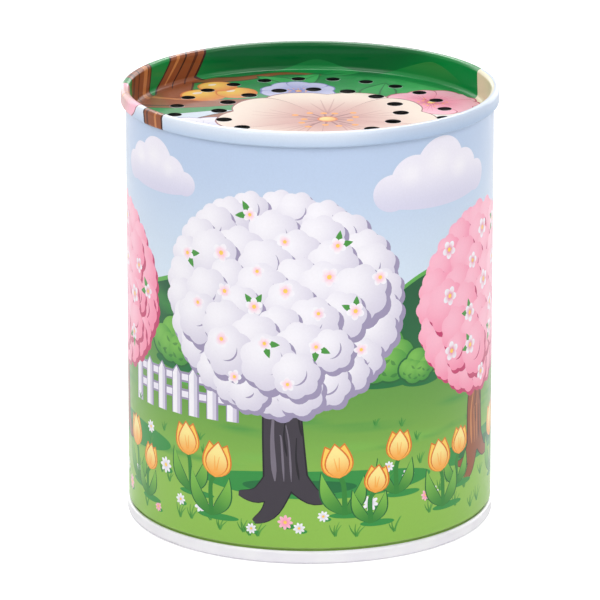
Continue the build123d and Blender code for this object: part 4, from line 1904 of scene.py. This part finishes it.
@dataclass(frozen=True)
class PlasticFilm:
    """Thin tough film, slightly wrinkled along its folds."""

    name: str
    colour: Colour
    shade: Colour
    roughness: float = 0.4

    def material(self) -> bpy.types.Material:
        """Builds the material: cloudy colour and fine creases.

        Returns:
            The material.
        """
        look = Texture(self.name)
        cloud = look.noise(3, 4)
        crease = look.cells(1.3)
        look.feed(look.mix(look.ramp(cloud, (0.35, 0), (0.65, 1)), self.colour, self.shade), "Base Color")
        look.feed(look.ramp(crease, (0, self.roughness + 0.12), (0.2, self.roughness)), "Roughness")
        look.bump(look.ramp(crease, (0, 0), (0.12, 1)), 0.02, 0.4)
        look.even(Coat_Weight=0.2, Coat_Roughness=0.2)
        return look.material


def dress(material: bpy.types.Material, *nodes: str) -> None:
    """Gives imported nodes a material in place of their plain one.

    Args:
        material: the finish.
        nodes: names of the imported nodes.
    """
    for name in nodes:
        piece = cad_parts[name]
        for slot in piece.material_slots:
            slot.material = material
        LOG.info("%s: %s", name, material.name)


@dataclass
class TinCase:
    """The seamed tin: its packed sheets and the print on them."""

    tin: Tin = field(default_factory=Tin)

    def build(self) -> list[bpy.types.Object]:
        """Prints and coats the tin.

        Returns:
            The two printed films.
        """
        wall, top = WallPrint(self.tin).build(), TopPrint(self.tin).build()
        for film, slot, finish in ((wall, "printed_wall", PrintedLacquer("wall_lacquer")),
                                   (top, "printed_top", PrintedLacquer("top_lacquer", varnish=0.4))):
            film.data.materials.append(finish.material())
            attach(film, "housing")
        inside = self.tin.wall_radius - self.tin.sheet / 2
        grass = (150, 188, 92)
        dress(Enamel("wall_coating", grass, self.tin.neck_top, inside).material(), "tin_body")
        # dark grey tinplate: painted shade on the cut edges inside the sound holes
        dress(Tinplate("shade_dark_tinplate", (104, 105, 108), (76, 77, 80)).material(), "top_end")
        dress(Enamel("base_coating").material(), "bottom_end")
        return [wall, top]


@dataclass
class Bellows:
    """The pleated film tube between the case's base and the piston, folded as it lies upright."""

    cuff_radius: float = 20.13
    pleat_outer: float = 23.0
    pleat_inner: float = 17.2
    base: float = 8.25
    collar: float = 2.5
    pleats: int = 7
    pitch: float = 1.2
    film: float = 0.2
    bend: float = 0.14
    bend_steps: int = 3
    segments: int = 96
    merge_reach: float = 0.002
    crease_angle: float = 50.0

    def section(self) -> list[Point]:
        """Traces the film's middle line from the lower cuff to the upper one.

        Returns:
            Points as radius and height.
        """
        low = self.base + self.collar
        corners = [(self.cuff_radius, self.base), (self.cuff_radius, low)]
        for i in range(self.pleats):
            fold = low + i * self.pitch
            corners.append((self.pleat_outer, fold + self.pitch / 4))
            corners.append((self.pleat_inner, fold + self.pitch * 3 / 4))
        high = low + self.pleats * self.pitch
        corners += [(self.cuff_radius, high), (self.cuff_radius, high + self.collar)]
        return corners

    def build(self) -> bpy.types.Object:
        """Spins the section into a tube, rounds its folds and gives the film its thickness.

        Returns:
            The finished piece.
        """
        section = self.section()
        bpy.ops.object.select_all(action="DESELECT")
        bpy.ops.mesh.primitive_plane_add(size=0.01)
        piece = bpy.context.object
        piece.name = piece.data.name = "bellows_film_tube"
        bpy.ops.object.mode_set(mode="EDIT")
        bpy.ops.mesh.select_all(action="SELECT")
        bpy.ops.mesh.merge(type="CENTER")
        bpy.ops.transform.translate(value=(section[0][0] * MM, 0, section[0][1] * MM))
        for (r0, z0), (r1, z1) in zip(section, section[1:]):
            bpy.ops.mesh.extrude_vertices_move(
                TRANSFORM_OT_translate={"value": ((r1 - r0) * MM, 0, (z1 - z0) * MM)}
            )
        bpy.ops.mesh.select_all(action="SELECT")
        bpy.ops.mesh.bevel(offset=self.bend * MM, segments=self.bend_steps, affect="VERTICES")
        bpy.ops.mesh.select_all(action="SELECT")
        bpy.ops.mesh.spin(
            steps=self.segments, angle=2 * math.pi, center=(0, 0, 0), axis=(0, 0, 1), use_auto_merge=True
        )
        bpy.ops.mesh.select_all(action="SELECT")
        bpy.ops.mesh.remove_doubles(threshold=self.merge_reach * MM)
        bpy.ops.mesh.normals_make_consistent(inside=False)
        bpy.ops.object.mode_set(mode="OBJECT")
        wall = piece.modifiers.new("film", "SOLIDIFY")
        wall.thickness = self.film * MM
        wall.offset = 0.0
        bpy.ops.object.modifier_apply(modifier=wall.name)
        bpy.ops.object.shade_smooth_by_angle(angle=math.radians(self.crease_angle))
        piece.data.materials.append(
            PlasticFilm("bellows_film", (196, 188, 162), (176, 166, 138)).material()
        )
        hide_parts("bellows")
        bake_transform(piece)
        LOG.info("bellows_film_tube: %d faces", len(piece.data.polygons))
        return piece


@dataclass
class Voice:
    """What is packed in the tin: the case with its weighted bellows, reed and valve."""

    bellows: Bellows = field(default_factory=Bellows)

    def build(self) -> bpy.types.Object:
        """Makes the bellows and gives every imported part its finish.

        Returns:
            The bellows.
        """
        tube = self.bellows.build()
        finishes = {
            PressedFelt("pressed_felt"): ("lower_packing", "upper_packing", "base_bumper", "cover_bumper"),
            KraftCard("kraft_card"): ("card_sleeve",),
            MouldedPlastic("case_moulding", (226, 221, 205), (214, 208, 190)): ("case_tube", "case_base"),
            # near black: painted shade for the inside of the tin that is seen through the sound holes
            MouldedPlastic("cover_painted_shade_black", (12, 12, 13), (9, 9, 10), 0.7): ("case_cover",),
            MouldedPlastic("clamp_moulding", (44, 45, 48), (34, 35, 38), 0.35):
                ("bellows_base_ring", "bellows_piston_ring"),
            MouldedPlastic("piston_moulding", (206, 52, 44), (188, 40, 36)): ("piston",),
            MouldedPlastic("reed_moulding", (238, 235, 224), (228, 224, 210), 0.3, 0.35):
                ("reed_holder", "reed_shallot", "reed_wedge"),
            MouldedPlastic("stud_moulding", (240, 238, 230), (230, 227, 216), 0.28, 0.35): ("valve_stud",),
            Metal("turned_steel", (176, 177, 180), (138, 139, 142), 0.35, 0.32, (122, 108, 94)):
                ("weight_ring",),
            Metal("spring_steel", (140, 142, 148), (104, 106, 112), 0.0, 0.36): ("weight_clip",),
            Metal("rolled_brass", (226, 188, 108), (202, 160, 82), 0.0, 0.26, (176, 128, 70)):
                ("reed_tongue", "reed_tongue_root"),
            PlasticFilm("valve_film", (214, 220, 224), (198, 206, 212), 0.22): ("valve_flap",),
        }
        for finish, nodes in finishes.items():
            dress(finish.material(), *nodes)
        return tube


AIM = Vector((0, 0, 0.04))


@dataclass(frozen=True)
class Lamp:
    """A soft lamp that points at the object. Its place and size are in metres, its power in watts."""

    name: str
    spot: tuple[float, float, float]
    size: Point
    power: float
    shine_only: bool = False

    def hang(self) -> None:
        """Hangs the lamp, which is seen in gloss but casts no light where it is for shine only."""
        data = bpy.data.lights.new(self.name, "AREA")
        data.shape = "RECTANGLE"
        data.size, data.size_y = self.size
        data.energy = self.power
        lamp = bpy.data.objects.new(self.name, data)
        lamp.visible_camera = False
        lamp.visible_diffuse = not self.shine_only
        lamp.location = self.spot
        lamp.rotation_mode = "QUATERNION"
        lamp.rotation_quaternion = (AIM - Vector(self.spot)).to_track_quat("-Z", "Y")
        bpy.context.scene.collection.objects.link(lamp)


@dataclass
class Studio:
    """Pale floor, soft lamps, white surroundings, and the camera at the photograph's angle."""

    look_down: float = 18.62
    focal_pixels: float = 5397.0
    distance: float = 0.9488
    off_axis: Point = (-9.8, 204.8)
    surround: float = 0.5
    floor_lift: float = 0.36
    floor_size: float = 6.0
    sensor: float = 36.0
    lamps: tuple[Lamp, ...] = (
        Lamp("key_lamp", (-0.62, -0.85, 0.95), (0.85, 0.85), 6.5),
        Lamp("fill_lamp", (0.75, -0.6, 0.8), (0.8, 0.8), 4.0),
        Lamp("left_strip", (-0.56, 1.06, 0.5), (0.8, 1.2), 5.5),
        Lamp("right_strip", (0.56, 1.06, 0.5), (0.8, 1.2), 5.5),
        Lamp("crown_lamp", (0, 0.45, 1.05), (1.0, 1.2), 31.0, shine_only=True),
    )

    def build(self) -> None:
        """Sets up everything round the object."""
        bpy.context.scene.view_settings.view_transform = "Standard"
        self.place_camera()
        self.lay_floor()
        for lamp in self.lamps:
            lamp.hang()
        self.surround_with_white()

    def place_camera(self) -> None:
        """Stands the camera where the photograph was taken from."""
        tilt = math.radians(self.look_down)
        back = Vector((0, -math.cos(tilt), math.sin(tilt)))
        up = Vector((0, math.sin(tilt), math.cos(tilt)))
        aim = -back * self.focal_pixels + Vector((1, 0, 0)) * self.off_axis[0] + up * self.off_axis[1]
        camera = bpy.data.objects.new("camera", bpy.data.cameras.new("camera"))
        camera.location = back * self.distance
        camera.rotation_mode = "QUATERNION"
        camera.rotation_quaternion = aim.normalized().to_track_quat("-Z", "Y")
        camera.data.sensor_width = self.sensor
        camera.data.lens = self.focal_pixels / PHOTO_WIDTH * self.sensor
        bpy.context.scene.collection.objects.link(camera)
        bpy.context.scene.camera = camera

    def lay_floor(self) -> None:
        """Lays a plain pale floor."""
        bpy.ops.object.select_all(action="DESELECT")
        bpy.ops.mesh.primitive_plane_add(size=self.floor_size)
        floor = bpy.context.object
        floor.name = "floor"
        look = Texture("floor_paper")
        cloud = look.ramp(look.noise(40, 2), (0.3, 0), (0.7, 1))
        look.feed(look.mix(cloud, (246, 246, 247), (250, 250, 250)), "Base Color")
        path = look.node("ShaderNodeLightPath")
        look.feed(look.ramp(path.outputs["Is Camera Ray"], (0, 0), (1, self.floor_lift)), "Emission Strength")
        look.shader.inputs["Emission Color"].default_value = (1, 1, 1, 1)
        look.even(Roughness=0.9, Specular_IOR_Level=0.1)
        floor.data.materials.append(look.material)

    def surround_with_white(self) -> None:
        """Makes the world white where it is seen or reflected, and softer where it lights."""
        world = bpy.data.worlds.new("white_room")
        world.use_nodes = True
        tree = world.node_tree
        path = tree.nodes.new("ShaderNodeLightPath")
        seen = path.outputs["Is Camera Ray"]
        for name in ("Is Glossy Ray", "Is Transmission Ray"):
            either = tree.nodes.new("ShaderNodeMath")
            either.operation = "MAXIMUM"
            tree.links.new(seen, either.inputs[0])
            tree.links.new(path.outputs[name], either.inputs[1])
            seen = either.outputs["Value"]
        strength = tree.nodes.new("ShaderNodeMapRange")
        strength.inputs["To Min"].default_value = self.surround
        strength.inputs["To Max"].default_value = 1.0
        tree.links.new(seen, strength.inputs["Value"])
        sky = tree.nodes["Background"]
        sky.inputs["Color"].default_value = (1, 1, 1, 1)
        tree.links.new(strength.outputs["Result"], sky.inputs["Strength"])
        bpy.context.scene.world = world


def main() -> None:
    """Builds the tin, the voice inside it and the studio round it, in that order."""
    logging.basicConfig(level=logging.INFO, format="%(name)s: %(message)s")
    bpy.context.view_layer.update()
    for piece in [*TinCase().build(), Voice().build()]:
        LOG.info("built %s", piece.name)
    Studio().build()


if __name__ == "__main__":
    main()
